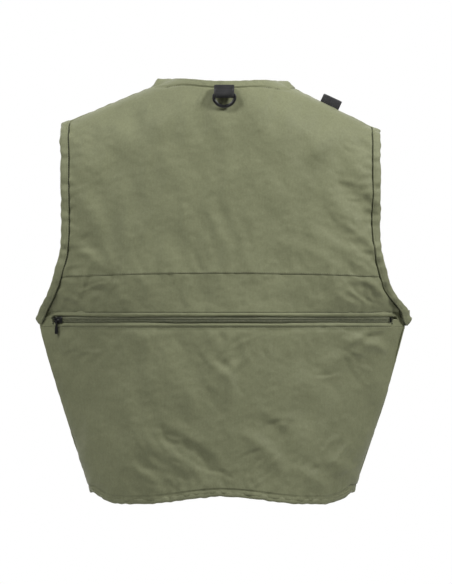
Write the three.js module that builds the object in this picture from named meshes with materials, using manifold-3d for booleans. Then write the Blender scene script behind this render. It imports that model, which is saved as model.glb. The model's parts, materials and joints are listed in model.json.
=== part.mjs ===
// Fishing vest, hung open as on a hanger, its back facing -Y and its fronts facing +Y. Millimetres, +Z up.
// Heights in this file are counted from the hem; the last lines move the origin to the shoulder line.
import * as THREE from "three";
import { mergeVertices } from "three/addons/utils/BufferGeometryUtils.js";
import Module from "manifold-3d";

const wasm = await Module();
wasm.setup();
const { clamp, lerp, smoothstep, degToRad } = THREE.MathUtils;

// ---------- Driving dimensions ----------
const CLEAR = 0.3; // gap between touching pieces
const CLOTH = 2.4; // thickness of a sewn, lined sheet
const BIND_THICK = 4; // thickness of a folded binding
const BIND_PROUD = 0.8; // how far a binding stands above the sheet beside it

const HEM_HALF = 186; // half-width at the hem
const SIDE_SLOPE = 0.357; // how fast the sides widen above the hem
const SIDE_BOW = 0.000204; // how that widening fades
const PIT_Z = 272; // bottom of the armholes
const ARM_HALF = 231.5; // half-width at the armhole edges
const ARM_FLARE_TOP = 400; // height at which the armhole edge turns outwards
const NECK_X = 98; // where shoulder and neck meet
const NECK_Z = 614;
const SHOULDER_SLOPE = 0.46; // fall of the shoulder line per millimetre outwards
const BACK_NECK_Z = 616; // top edge of the back neck
const YOKE_Z = 334; // seam under the back yoke

const ZIP_Z = 269; // centreline of the back zip
const ZIP_OPEN = 11.4; // gap between the folded edges beside a zip
const ZIP_BAND = 11; // half-height of the band that keeps one section, so that the zip is a true arc
const ZIP_HALF = 246; // half-length of the back zip, across the vest
const SLIDER_X = 238; // where the closed back slider stands

const BACK_DEPTH_HEM = 118; // how far the back stands out at its middle
const BACK_DEPTH_ZIP = 92;
const BACK_DEPTH_TOP = 60;
const BACK_FALL = 90; // height over which the back closes to the shoulder line
const FRONT_FALL = 16; // the same on the front
const ARM_SPREAD = 70; // how fast the section opens above the armholes' bottom

const FRONT_DEPTH_HEM = 80; // how far the flat fronts stand out at the hem
const FRONT_DEPTH_TOP = 14; // and at the top of the fold line
const FOLD_TOP_X = 102; // the fronts swing about a fold line from the neck to the hem
const FOLD_TOP_Z = 588;
const FOLD_HEM_X = 162;
const HANGER_Z = 600; // where a hanger carries the shoulders
const STRAP_Z = 577; // the neck band ends here, and the swinging fronts a little below
const EDGE_X = 14; // the fronts' cloth ends this far from the middle
const VEE_Z = 430; // bottom of the V of the neck

const ARM_BIND = 14; // widths of the bindings
const NECK_BIND = 9.5;
const HEM_BIND = 10;

const HEM_WAVE = 130; // the hem rises towards the middle, front and back, from here inwards
const HEM_RISE = 12; // height that the middle rises by
const HEM_TURN = 148; // the hem's round corners start here
const HEM_CORNER = 18; // height that a corner rises by

// ---------- Form of the shell ----------
// Height at which a section is read: constant across the zip band.
function level(z) {
  if (z < ZIP_Z - ZIP_BAND) return (z * ZIP_Z) / (ZIP_Z - ZIP_BAND);
  return z > ZIP_Z + ZIP_BAND ? z - ZIP_BAND : ZIP_Z;
}

function sideHalf(z) {
  const l = Math.min(level(z), ZIP_Z);
  return HEM_HALF + SIDE_SLOPE * l - SIDE_BOW * l * l;
}

// Half-width at which the back and front sheets would meet.
function sectionHalf(z) {
  const above = Math.max(0, level(z) - ZIP_Z);
  return sideHalf(z) + ARM_SPREAD * (1 - Math.exp(-above / 60));
}

function shoulderZ(x) {
  return NECK_Z - SHOULDER_SLOPE * (Math.abs(x) - NECK_X);
}

// Half-width of the armhole edge; the front one is cut deeper.
function armEdge(z, front) {
  const s = clamp((z - PIT_Z) / (ARM_FLARE_TOP - PIT_Z), 0, 1);
  const flare = (sideHalf(ZIP_Z) - ARM_HALF) * Math.pow(1 - s, 1.8);
  const deeper = front ? 9 * Math.sin(Math.PI * clamp((z - PIT_Z) / 280, 0, 1)) : 0;
  return ARM_HALF + flare - deeper;
}

function fall(x, z, height) {
  const d = clamp((shoulderZ(x) - z) / height, 0, 1);
  return Math.sqrt(1 - (1 - d) * (1 - d));
}

function backDepth(z) {
  const l = level(z);
  return l < ZIP_Z
    ? lerp(BACK_DEPTH_HEM, BACK_DEPTH_ZIP, l / ZIP_Z)
    : lerp(BACK_DEPTH_ZIP, BACK_DEPTH_TOP, (l - ZIP_Z) / (NECK_Z - ZIP_Z));
}

function arcRadius(half, depth) {
  return (half * half + depth * depth) / (2 * depth);
}

function backY(x, z) {
  const half = sectionHalf(z), depth = backDepth(z);
  const u = Math.min(1, Math.abs(x) / half), radius = arcRadius(half, depth);
  const arc = Math.sqrt(radius * radius - u * u * half * half) - (radius - depth);
  const oval = depth * Math.sqrt(1 - u * u);
  return -lerp(oval, arc, smoothstep(level(z), 0, 230)) * fall(x, z, BACK_FALL);
}

function foldX(z) {
  return lerp(FOLD_HEM_X, FOLD_TOP_X, z / FOLD_TOP_Z);
}

function frontPlaneY(z) {
  return lerp(FRONT_DEPTH_HEM, FRONT_DEPTH_TOP, z / FOLD_TOP_Z);
}

// The front is flat out to the fold line, then curves back to the side.
function frontY(x, z) {
  const t = clamp((Math.abs(x) - foldX(z)) / (sectionHalf(z) - foldX(z)), 0, 1);
  return frontPlaneY(z) * Math.sqrt(1 - Math.pow(t, 2.5)) * fall(x, z, FRONT_FALL);
}

// Lower edge of the vest: a slight rise towards the middle, and round corners at the sides.
function hemZ(x) {
  const a = Math.abs(x);
  const corner = HEM_CORNER * Math.pow(clamp((a - HEM_TURN) / (HEM_HALF - HEM_TURN), 0, 1), 2.2);
  return corner + (HEM_RISE / 2) * (1 + Math.cos((Math.PI * Math.min(a, HEM_WAVE)) / HEM_WAVE));
}

// Neck edge of the fronts, from the neck point to the bottom of the V.
const neckCurve = new THREE.QuadraticBezierCurve(
  new THREE.Vector2(NECK_X, NECK_Z), new THREE.Vector2(88, 520), new THREE.Vector2(EDGE_X, VEE_Z));

// ---------- Solids ----------
const V = (x, y, z) => new THREE.Vector3(x, y, z);

function geometryOf(points, faces) {
  const g = new THREE.BufferGeometry();
  g.setAttribute("position", new THREE.Float32BufferAttribute(points.flatMap((p) => [p.x, p.y, p.z]), 3));
  g.setIndex(faces);
  return facingOut(g);
}

// Turns the faces round if they face inwards.
function facingOut(g) {
  const p = g.getAttribute("position"), i = g.index.array;
  const [a, b, c] = [V(), V(), V()];
  let six = 0;
  for (let k = 0; k < i.length; k += 3) {
    a.fromBufferAttribute(p, i[k]);
    b.fromBufferAttribute(p, i[k + 1]);
    c.fromBufferAttribute(p, i[k + 2]);
    six += a.dot(b.cross(c));
  }
  if (six < 0) for (let k = 0; k < i.length; k += 3) [i[k], i[k + 1]] = [i[k + 1], i[k]];
  return g;
}

// A closed solid through rings of equal count. Open ends get flat caps.
function loft(rings, closed) {
  const n = rings[0].length, faces = [], count = rings.length;
  for (let r = 0; r < (closed ? count : count - 1); r++) {
    const low = r * n, high = ((r + 1) % count) * n;
    for (let k = 0; k < n; k++) {
      const next = (k + 1) % n;
      faces.push(low + k, low + next, high + next, low + k, high + next, high + k);
    }
  }
  if (!closed) {
    const flat = flatten(rings[0]), turn = THREE.ShapeUtils.area(flat), end = (count - 1) * n;
    for (const [a, b, c] of THREE.ShapeUtils.triangulateShape(flat, [])) {
      const same = THREE.ShapeUtils.area([flat[a], flat[b], flat[c]]) * turn > 0;
      faces.push(...(same ? [c, b, a] : [a, b, c]));
      faces.push(...(same ? [end + a, end + b, end + c] : [end + c, end + b, end + a]));
    }
  }
  return geometryOf(rings.flat(), faces);
}

// A ring of 3-D points laid out in its own plane.
function flatten(ring) {
  const o = ring[0], u = ring[1].clone().sub(o).normalize();
  let normal = V();
  for (let k = 0; k < ring.length; k++) normal.add(ring[k].clone().cross(ring[(k + 1) % ring.length]));
  normal.normalize();
  const w = normal.clone().cross(u);
  return ring.map((p) => new THREE.Vector2(p.clone().sub(o).dot(u), p.clone().sub(o).dot(w)));
}

// A sheet of cloth over a grid of surface points, from lift above the surface to depth below it.
function sheet(grid, outward, lift, depth) {
  const rows = grid.length, cols = grid[0].length, top = [], under = [];
  for (let j = 0; j < rows; j++)
    for (let i = 0; i < cols; i++) {
      const along = grid[j][Math.min(i + 1, cols - 1)].clone().sub(grid[j][Math.max(i - 1, 0)]);
      const up = grid[Math.min(j + 1, rows - 1)][i].clone().sub(grid[Math.max(j - 1, 0)][i]);
      const normal = along.cross(up).normalize().multiplyScalar(outward);
      top.push(grid[j][i].clone().addScaledVector(normal, lift));
      under.push(grid[j][i].clone().addScaledVector(normal, -depth));
    }
  const faces = [], n = rows * cols, at = (j, i) => j * cols + i;
  const quad = (a, b, c, d) => faces.push(a, b, c, a, c, d);
  for (let j = 0; j + 1 < rows; j++)
    for (let i = 0; i + 1 < cols; i++) {
      quad(at(j, i), at(j, i + 1), at(j + 1, i + 1), at(j + 1, i));
      quad(n + at(j, i), n + at(j + 1, i), n + at(j + 1, i + 1), n + at(j, i + 1));
    }
  for (let i = 0; i + 1 < cols; i++) {
    quad(at(0, i + 1), at(0, i), n + at(0, i), n + at(0, i + 1));
    quad(at(rows - 1, i), at(rows - 1, i + 1), n + at(rows - 1, i + 1), n + at(rows - 1, i));
  }
  for (let j = 0; j + 1 < rows; j++) {
    quad(at(j, 0), at(j + 1, 0), n + at(j + 1, 0), n + at(j, 0));
    quad(at(j + 1, cols - 1), at(j, cols - 1), n + at(j, cols - 1), n + at(j + 1, cols - 1));
  }
  return geometryOf([...top, ...under], faces);
}

// A binding through stations [edge point, inner point], proud of the cloth on one side.
function ribbon(stations, outward, closed = false, proud = BIND_PROUD, under = BIND_PROUD - BIND_THICK) {
  const middle = stations.map(([p, q]) => p.clone().add(q).multiplyScalar(0.5));
  const last = stations.length - 1;
  const rings = stations.map(([p, q], k) => {
    const before = closed ? middle[(k + last) % (last + 1)] : middle[Math.max(k - 1, 0)];
    const after = closed ? middle[(k + 1) % (last + 1)] : middle[Math.min(k + 1, last)];
    const normal = after.clone().sub(before).cross(q.clone().sub(p)).normalize().multiplyScalar(outward);
    const lifted = (v, h) => v.clone().addScaledVector(normal, h);
    return [lifted(p, proud), lifted(q, proud), lifted(q, under), lifted(p, under)];
  });
  return loft(rings, closed);
}

function solid(geometry) {
  const bare = geometry.clone();
  for (const name of Object.keys(bare.attributes)) if (name !== "position") bare.deleteAttribute(name);
  const merged = mergeVertices(bare, 1e-4);
  return new wasm.Manifold(new wasm.Mesh({
    numProp: 3,
    vertProperties: new Float32Array(merged.attributes.position.array),
    triVerts: new Uint32Array(merged.index.array),
  }));
}

function geometry(made) {
  const mesh = made.getMesh(), g = new THREE.BufferGeometry(), n = mesh.numProp;
  const xyz = new Float32Array(mesh.numVert * 3);
  for (let k = 0; k < mesh.numVert; k++) xyz.set(mesh.vertProperties.subarray(k * n, k * n + 3), k * 3);
  g.setAttribute("position", new THREE.BufferAttribute(xyz, 3));
  g.setIndex(new THREE.BufferAttribute(new Uint32Array(mesh.triVerts), 1));
  return g;
}

// The geometry scaled by 1 or -1 along x and y, its faces still outwards.
function mirrored(g, x, y = 1) {
  const bare = g.clone().scale(x, y, 1);
  for (const name of Object.keys(bare.attributes)) if (name !== "position") bare.deleteAttribute(name);
  return facingOut(mergeVertices(bare, 1e-4));
}

// Cuts, and drops the slivers that a cut leaves beside the piece.
const largest = (made) => made.decompose().sort((a, b) => b.volume() - a.volume())[0];
const cut = (a, ...tools) => geometry(largest(tools.reduce((s, t) => s.subtract(solid(t)), solid(a))));
const join = (a, ...more) => geometry(more.reduce((s, t) => s.add(solid(t)), solid(a)));
const keep = (a, b) => geometry(solid(a).intersect(solid(b)));

function block(x0, x1, y0, y1, z0, z1) {
  return new THREE.BoxGeometry(Math.abs(x1 - x0), y1 - y0, z1 - z0)
    .translate((x0 + x1) / 2, (y0 + y1) / 2, (z0 + z1) / 2);
}

// An outline in x and z, extruded from y0 to y1.
function plate(shape, y0, y1, curveSegments = 5) {
  return new THREE.ExtrudeGeometry(shape, { depth: y1 - y0, bevelEnabled: false, curveSegments })
    .rotateX(Math.PI / 2).translate(0, y1, 0);
}

// A rectangle with round lower corners.
function pouchShape(x0, x1, z0, z1, r) {
  const s = new THREE.Shape();
  s.moveTo(x0, z1);
  s.lineTo(x0, z0 + r);
  s.absarc(x0 + r, z0 + r, r, Math.PI, 1.5 * Math.PI);
  s.lineTo(x1 - r, z0);
  s.absarc(x1 - r, z0 + r, r, 1.5 * Math.PI, 2 * Math.PI);
  s.lineTo(x1, z1);
  return s;
}

// ---------- Materials ----------
function finish(color, roughness, metalness = 0) {
  return new THREE.MeshStandardMaterial({ color, roughness, metalness });
}
const olive = finish(0x7b7e63, 0.75);
const tape = finish(0x4c4f3f, 0.7);
const black = finish(0x1c1c1e, 0.7);
const blackMetal = finish(0x151515, 0.35, 0.8);
const blackPlastic = finish(0x19191a, 0.45);
const lining = finish(0x6c7058, 0.9);

const vest = new THREE.Group();
function add(name, g, material, parent = vest) {
  const m = new THREE.Mesh(g, material);
  m.name = name;
  parent.add(m);
  return m;
}

const spaced = (n, f) => Array.from({ length: n + 1 }, (_, k) => f(k / n));
const sides = [["left", -1], ["right", 1]];

// ---------- Armhole bindings: a closed loop round each armhole ----------
const armSlope = (z, front) => (armEdge(z + 1, front) - armEdge(z - 1, front)) / 2;
function armStations(sign) {
  const tipZ = (front) => spaced(6, (s) => s).reduce((z) => shoulderZ(armEdge(z, front)), 550);
  const half = (front) => spaced(13, (v) => {
    const z = lerp(PIT_Z + 2, tipZ(front) - 3, Math.sin((v * Math.PI) / 2));
    const slope = armSlope(z, front), step = ARM_BIND / Math.hypot(1, slope);
    const x = armEdge(z, front), inner = x - step, innerZ = z + slope * step;
    const surface = front ? frontY : backY;
    return [V(sign * x, surface(x, z), z), V(sign * inner, surface(inner, innerZ), innerZ)];
  });
  const tip = tipZ(false), tipInner = ARM_HALF - ARM_BIND * 0.9, pit = sideHalf(ZIP_Z);
  const top = [V(sign * ARM_HALF, 0, tip), V(sign * tipInner, 0, shoulderZ(tipInner))];
  const bottom = [V(sign * (pit + 1), 0, PIT_Z), V(sign * (pit - 2), 0, PIT_Z - 7)];
  return [bottom, ...half(false), top, ...half(true).reverse()];
}
for (const [side, sign] of sides) {
  add(`armhole_binding_${side}`, ribbon(armStations(sign), sign, true), olive);
}

// The space that a binding takes out of the sheets sewn into it.
const widened = (stations) => stations.map(([p, q]) => {
  const step = q.clone().sub(p).setLength(1.4);
  return [p.clone().addScaledVector(step, -3), q.clone().add(step)];
});
const CUT_PROUD = 4, CUT_UNDER = BIND_PROUD - BIND_THICK - 2; // reach of the ribbons that cut the sheets
const armCuts = sides.map(([, sign]) => ribbon(widened(armStations(sign)), sign, true, CUT_PROUD, CUT_UNDER));

// Across the back from side to side: closer together at the edges, where the section turns.
const across = (s) => Math.sin(((s - 0.5) * Math.PI) * 0.96) / Math.sin(Math.PI * 0.48);

// ---------- Hem binding, from fold line to fold line round the back ----------
function hemStations() {
  const front = (sign) => spaced(6, (s) => {
    const u = Math.sin((s * Math.PI) / 2) * 0.985;
    let z = 0, x = 0;
    for (let k = 0; k < 4; k++) {
      x = lerp(foldX(z) + 0.8, sideHalf(z), u);
      z = hemZ(x);
    }
    return [V(sign * x, frontY(x, z), z), V(sign * lerp(foldX(z + HEM_BIND) + 0.8, sideHalf(z + HEM_BIND), u),
      frontY(lerp(foldX(z + HEM_BIND), sideHalf(z + HEM_BIND), u), z + HEM_BIND), z + HEM_BIND)];
  });
  const back = spaced(24, (s) => {
    const u = -across(s) * 0.992;
    let z = 0, x = 0;
    for (let k = 0; k < 4; k++) {
      x = u * sideHalf(z);
      z = hemZ(x);
    }
    const q = u * sideHalf(z + HEM_BIND);
    return [V(x, backY(x, z), z), V(q, backY(q, z + HEM_BIND), z + HEM_BIND)];
  });
  return [...front(1), ...back, ...front(-1).reverse()];
}
const hemPath = hemStations();
add("hem_binding", ribbon(hemPath, -1), olive);
const hemCut = ribbon(widened(hemPath), -1, false, CUT_PROUD, CUT_UNDER);

// ---------- Back ----------
const FAR = 900;
const backSide = block(-FAR, FAR, -FAR, -CLEAR / 2, -FAR, FAR);
const frontSide = block(-FAR, FAR, CLEAR / 2, FAR, -FAR, FAR);

function backGrid(rows, cols, low, high, edge, crowd = 1) {
  return spaced(rows, (v) => spaced(cols, (s) => {
    const u = across(s), share = 1 - Math.pow(1 - v, crowd);
    let x = u * edge(low(0)), z = 0;
    for (let k = 0; k < 4; k++) {
      z = lerp(low(x), high(x), share);
      x = u * edge(z);
    }
    return V(x, backY(x, z), z);
  }));
}

// Side edge of a sheet: the side seam, and above it the middle of the armhole binding.
function sheetEdge(z, front) {
  return z < PIT_Z - 4 ? sideHalf(z) : armEdge(z, front) - (ARM_BIND / 2) * Math.hypot(1, armSlope(z, front));
}
const backEdge = (z) => sheetEdge(z, false);
const backPart = (grid) => cut(keep(sheet(grid, 1, 0, CLOTH), backSide), ...armCuts, hemCut);
const zipTop = ZIP_Z + ZIP_OPEN / 2, zipBottom = ZIP_Z - ZIP_OPEN / 2;
const yokeTop = (x) => lerp(BACK_NECK_Z - NECK_BIND - 1, shoulderZ(x),
  smoothstep(Math.abs(x), NECK_X + 2, NECK_X + 14));

add("back_yoke_panel", backPart(backGrid(14, 20, () => YOKE_Z + CLEAR, yokeTop, backEdge, 2)), olive);
add("back_mid_panel", backPart(backGrid(4, 20, () => zipTop + CLEAR, () => YOKE_Z, backEdge)), olive);

const lowerBackTop = () => zipBottom - CLEAR;
const aboveHem = (x) => hemZ(x) + HEM_BIND / 2;
add("back_pocket_panel", backPart(backGrid(10, 26, aboveHem, lowerBackTop, sideHalf)), olive);

const liningEdge = (z) => Math.min(sideHalf(z), armEdge(z)) - ARM_BIND - LINING_INSET;
const LINING_OUT = 5.2, LINING_IN = 6.4, LINING_INSET = 12;
const liningGrid = backGrid(10, 22, (x) => aboveHem(x) + 10, () => YOKE_Z - 3, liningEdge);
add("back_pocket_lining", keep(sheet(liningGrid, 1, -LINING_OUT, LINING_IN), backSide), lining);

// ---------- Fixed side parts of the fronts ----------
function sideGrid(sign, rows, cols) {
  return spaced(rows, (v) => spaced(cols, (s) => {
    const u = Math.sin((s * Math.PI) / 2);
    let x = 150, z = 0;
    for (let k = 0; k < 8; k++) {
      z = lerp(hemZ(x) + HEM_BIND / 2, shoulderZ(x), 1 - Math.pow(1 - v, 1.7));
      x = lerp(foldX(z) + CLEAR + neckClear(z), sheetEdge(z, true), u);
    }
    return V(sign * x, frontY(x, z), z);
  }));
}

// Near the top, the side part stands clear of the neck band.
const neckClear = (z) => 9 * smoothstep(z, STRAP_Z - 14, STRAP_Z);

for (const [side, sign] of sides)
  add(`front_${side}_side_panel`,
    cut(keep(sheet(sideGrid(sign, 18, 8), -sign, 0, CLOTH), frontSide), ...armCuts, hemCut), olive);

// ---------- Back neck band, over the shoulders to the top of the fronts ----------
function neckStations() {
  const front = (sign) => spaced(3, (v) => {
    const z = lerp(STRAP_Z, NECK_Z - 9, v);
    const t = (NECK_Z - z) / 200, p = neckCurve.getPoint(t);
    const x = p.x, q = x + NECK_BIND;
    return [V(sign * x, frontY(x, z), z), V(sign * q, frontY(q, z), z)];
  });
  const shoulder = (sign) => [V(sign * NECK_X, -2, NECK_Z), V(sign * (NECK_X + 8), -2, NECK_Z - 5)];
  const back = spaced(12, (s) => {
    const x = -Math.sin((s - 0.5) * Math.PI * 0.98) * (NECK_X - 6);
    const z = Math.min(BACK_NECK_Z, shoulderZ(x) - 1);
    const q = x * 1.03, qz = z - NECK_BIND;
    return [V(x, backY(x, z), z), V(q, backY(q, qz), qz)];
  });
  return [...front(1), shoulder(1), ...back, shoulder(-1), ...front(-1).reverse()];
}
add("back_neck_band", ribbon(neckStations(), 1), olive);

// ---------- Back zip: two tape halves with their coils, on one arc ----------
const backRadius = arcRadius(sideHalf(ZIP_Z), BACK_DEPTH_ZIP);
const backCentreY = backRadius - BACK_DEPTH_ZIP;
const SLIT = 1.6; // gap between the coils, where the slider's post runs
const COIL_WIDE = 2.6, COIL_OUT = 0.4, COIL_IN = 2.9, TAPE_OUT = 0.8, TAPE_IN = 2;

// Half of a zip in section: [depth outwards, height above the zip's centreline].
const halfZip = [
  [-TAPE_IN, ZIP_OPEN / 2], [-TAPE_OUT, ZIP_OPEN / 2],
  [-TAPE_OUT, SLIT / 2 + COIL_WIDE], [COIL_OUT, SLIT / 2 + COIL_WIDE],
  [COIL_OUT, SLIT / 2], [-COIL_IN, SLIT / 2],
  [-COIL_IN, SLIT / 2 + COIL_WIDE], [-TAPE_IN, SLIT / 2 + COIL_WIDE],
];

function backZipHalf(up) {
  const reach = Math.asin(ZIP_HALF / backRadius);
  return loft(spaced(24, (s) => {
    const a = lerp(-reach, reach, s);
    return halfZip.map(([out, h]) => V(
      (backRadius + out) * Math.sin(a), backCentreY - (backRadius + out) * Math.cos(a), ZIP_Z + up * h));
  }), false);
}
add("back_zip_upper_tape", backZipHalf(1), tape);
add("back_zip_lower_tape", backZipHalf(-1), tape);

// Places a group on the back zip's arc, its x along the arc and its y into the vest.
function onBackArc(x) {
  const a = Math.asin(x / backRadius), g = new THREE.Group();
  g.position.set(x, backCentreY - backRadius * Math.cos(a), ZIP_Z);
  g.rotation.z = a;
  vest.add(g);
  return g;
}

for (const [side, sign] of sides)
  add(`back_zip_end_stop_${side}`, block(-1.2, 1.2, -1.2 - CLEAR, -COIL_OUT - CLEAR, -4, 4), blackMetal,
    onBackArc(sign * (ZIP_HALF - 1.4)));

// ---------- Sliders and pulls ----------
// A slider's own frame: travel along x, y pointing out of the vest, centred on the coil.
const WING_LONG = 11, WING_WIDE = 8.8, WING_THICK = 1.5, WING_GAP = 0.4;
const LEG = 1.4, BAIL_HIGH = 2.4, BAIL_HALF = 3.4;
const wingTop = COIL_OUT + WING_GAP + WING_THICK;

function wingShape() {
  const s = new THREE.Shape(), a = WING_LONG / 2, b = WING_WIDE / 2;
  s.moveTo(-a, -b * 0.6);
  s.lineTo(-a + 3.5, -b);
  s.lineTo(a - 1, -b);
  s.lineTo(a, -b + 1);
  s.lineTo(a, b - 1);
  s.lineTo(a - 1, b);
  s.lineTo(-a + 3.5, b);
  s.lineTo(-a, b * 0.6);
  return s;
}

function slider() {
  const upper = plate(wingShape(), COIL_OUT + WING_GAP, wingTop);
  const lower = plate(wingShape(), -COIL_IN - WING_GAP - WING_THICK, -COIL_IN - WING_GAP);
  const post = block(-2.5, 2.5, -COIL_IN - WING_GAP - 0.2, COIL_OUT + WING_GAP + 0.2, -0.4, 0.4);
  const leg = (x) => block(x - LEG / 2, x + LEG / 2, wingTop - 0.2, wingTop + BAIL_HIGH, -LEG / 2, LEG / 2);
  const bar = block(-BAIL_HALF - LEG / 2, BAIL_HALF + LEG / 2, wingTop + BAIL_HIGH - 0.2,
    wingTop + BAIL_HIGH + 1.2, -LEG / 2, LEG / 2);
  return join(upper, lower, post, leg(-BAIL_HALF), leg(BAIL_HALF), bar);
}

// The pull hangs from an eye round one leg of the slider's bail; its own origin is the eye's centre.
const EYE_HOLE = 1.5, EYE_RIM = 3, PULL_LONG = 21, PULL_THICK = 1.2;
function pull(long = PULL_LONG) {
  const s = new THREE.Shape();
  s.absarc(0, 0, EYE_RIM, Math.PI * 1.25, Math.PI * 1.75, true);
  s.lineTo(1.5, -6);
  s.lineTo(2.2, -long + 5);
  s.lineTo(2.6, -long + 1.2);
  s.lineTo(1.4, -long);
  s.lineTo(-1.4, -long);
  s.lineTo(-2.6, -long + 1.2);
  s.lineTo(-2.2, -long + 5);
  s.lineTo(-1.5, -6);
  const hole = new THREE.Path();
  hole.absarc(0, 0, EYE_HOLE, 0, 2 * Math.PI);
  s.holes.push(hole);
  return plate(s, 0, PULL_THICK, 6);
}
const pullOut = wingTop + 0.5; // the pull's inner face, outwards from the coil's middle

// ---------- Webbing loops with D-rings ----------
const WEB_WIDE = 28, WEB_THICK = 1.6, RING_WIRE = 3, RING_HALF = 15.9, RING_DROP = 17.3, BAR_GAP = 0.5;

// A loop of webbing in its own frame: x across, y out of the vest, the ring's bar at the origin,
// the sewn end up.
function webLoop(sewn) {
  const r = RING_WIRE / 2 + BAR_GAP, R = r + WEB_THICK, s = new THREE.Shape();
  s.moveTo(R, sewn);
  s.lineTo(R, 0);
  s.absarc(0, 0, R, 0, -Math.PI, true);
  s.lineTo(-R, sewn);
  s.lineTo(-r, sewn);
  s.lineTo(-r, 0);
  s.absarc(0, 0, r, -Math.PI, 0, false);
  s.lineTo(r, sewn - 4);
  s.lineTo(-r + CLEAR, sewn - 4);
  s.lineTo(-r + CLEAR, sewn);
  return new THREE.ExtrudeGeometry(s, { depth: WEB_WIDE, bevelEnabled: false, curveSegments: 6 })
    .rotateX(Math.PI / 2).rotateZ(Math.PI / 2).translate(-WEB_WIDE / 2, 0, 0);
}

// A D-ring hanging from its bar, which is at the origin.
function dRing() {
  const bow = spaced(14, (s) => V(RING_HALF * Math.cos(Math.PI * s), 0, -RING_DROP * Math.sin(Math.PI * s)));
  const centre = [...bow, V(-RING_HALF / 3, 0, 0), V(RING_HALF / 3, 0, 0)];
  const n = centre.length, depth = V(0, 1, 0);
  return loft(centre.map((c, k) => {
    const along = centre[(k + 1) % n].clone().sub(centre[(k + n - 1) % n]).normalize();
    const aside = along.clone().cross(depth).normalize();
    return spaced(7, (s) => {
      const a = s * 7 * (Math.PI / 4), r = RING_WIRE / 2;
      return c.clone().addScaledVector(aside, r * Math.cos(a)).addScaledVector(depth, r * Math.sin(a));
    });
  }), true);
}

function placed(x, y, z, parent = vest) {
  const g = new THREE.Group();
  g.position.set(x, y, z);
  parent.add(g);
  return g;
}

// Each D-ring's bar: across, outward sign, distance from the middle plane, height, the length of its webbing,
// and how far it leans. The one on the shoulder is square to the shoulder seam.
const NECK_RING = { x: 2.5, out: -1, y: -67, z: 596.5, sewn: 9.5, lean: 0 };
const SHOULDER_RING = { x: 144.3, out: 1, y: 23.1, z: 555.7, sewn: 40, lean: Math.atan(SHOULDER_SLOPE) };
for (const [name, ring] of [["neck", NECK_RING], ["shoulder", SHOULDER_RING]]) {
  const at = placed(ring.x, ring.y, ring.z);
  at.rotation.y = ring.lean;
  add(`${name}_webbing`, mirrored(webLoop(ring.sewn), 1, ring.out), black, at);
  add(`${name}_d_ring`, dRing(), blackPlastic, at);
}

// ---------- Back slider and its pull, at the closed end ----------
const backZip = onBackArc(-SLIDER_X);
add("back_zip_slider", mirrored(slider(), 1, -1), blackMetal, backZip);
add("back_zip_pull", mirrored(pull(), 1, -1).translate(-BAIL_HALF, -pullOut, 0), blackMetal, backZip);

// ---------- Swinging fronts ----------
// Their frame lies in the flat of the fronts: x across, y out of the vest, z up the cloth from the hem.
const TILT = Math.atan((FRONT_DEPTH_HEM - FRONT_DEPTH_TOP) / FOLD_TOP_Z);
const fronts = placed(0, FRONT_DEPTH_HEM, 0);
fronts.rotation.x = TILT;
const up = (z) => z / Math.cos(TILT);
const foldAt = (s) => foldX(s * Math.cos(TILT));
const FRONT_TOP = up(STRAP_Z - 5);
const FOLD_CLEAR = 1.2; // bindings stop this far from the fold line

// Points of the right front's neck edge from the V up to its top, moved into the cloth by an offset.
function neckEdge(offset) {
  const points = spaced(24, (s) => {
    const t = 1 - s, p = neckCurve.getPoint(t), n = neckCurve.getTangent(t);
    return new THREE.Vector2(p.x - n.y * offset, up(p.y + n.x * offset));
  });
  const low = points.filter((p) => p.x >= EDGE_X && p.y < FRONT_TOP);
  return low.filter((p, k) => k % 2 === 0 || k === low.length - 1);
}

const shapeOf = (points) => new THREE.Shape(points);
const xz = (x, z) => new THREE.Vector2(x, z);

// Points along the fronts' hem from the middle to the fold line, raised above the hem.
function frontHem(rise, far) {
  return spaced(12, (s) => lerp(EDGE_X, far, s)).map((x) => xz(x, up(hemZ(x) + rise)));
}

function frontPanelShape() {
  const edge = neckEdge(NECK_BIND + 1), rise = HEM_BIND + 1;
  return shapeOf([xz(EDGE_X, edge[0].y - 4), ...edge, xz(foldAt(FRONT_TOP) - CLEAR, FRONT_TOP),
    ...frontHem(rise, foldX(18) - CLEAR).reverse()]);
}

function neckBindingShape() {
  return shapeOf([...neckEdge(0), ...neckEdge(NECK_BIND).reverse()]);
}

function hemBindingShape() {
  const far = foldX(18) - FOLD_CLEAR;
  return shapeOf([...frontHem(0, far), ...frontHem(HEM_BIND, far).reverse()]);
}

// Half of a front zip: the same section as the back zip's, its coil's edge at ZIP_EDGE from the middle.
const ZIP_EDGE = 6, FRONT_ZIP_LOW = 23, FRONT_ZIP_TOP = up(VEE_Z) - 6;
function frontZipHalf(low) {
  const section = halfZip.map(([out, h]) => {
    const inward = h >= ZIP_OPEN / 2 ? EDGE_X - CLEAR : ZIP_EDGE + h - SLIT / 2;
    return [out, inward];
  });
  return loft([low, FRONT_ZIP_TOP].map((z) => section.map(([out, x]) => V(x, out, z))), false);
}

// Pocket: a shell open at the back, where the front closes it, and at the top.
const WALL = 1.6, PATCH = 0.8, FLAP = 1.6, FLAP_OVER = 2;
function pouch(p) {
  const outer = plate(pouchShape(p.x0, p.x1, p.z0, p.z1, p.round), CLEAR, p.deep);
  const hollow = pouchShape(p.x0 + WALL, p.x1 - WALL, p.z0 + WALL, p.z1 + 5, p.round - WALL);
  return cut(outer, plate(hollow, -1, p.deep - WALL));
}

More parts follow.
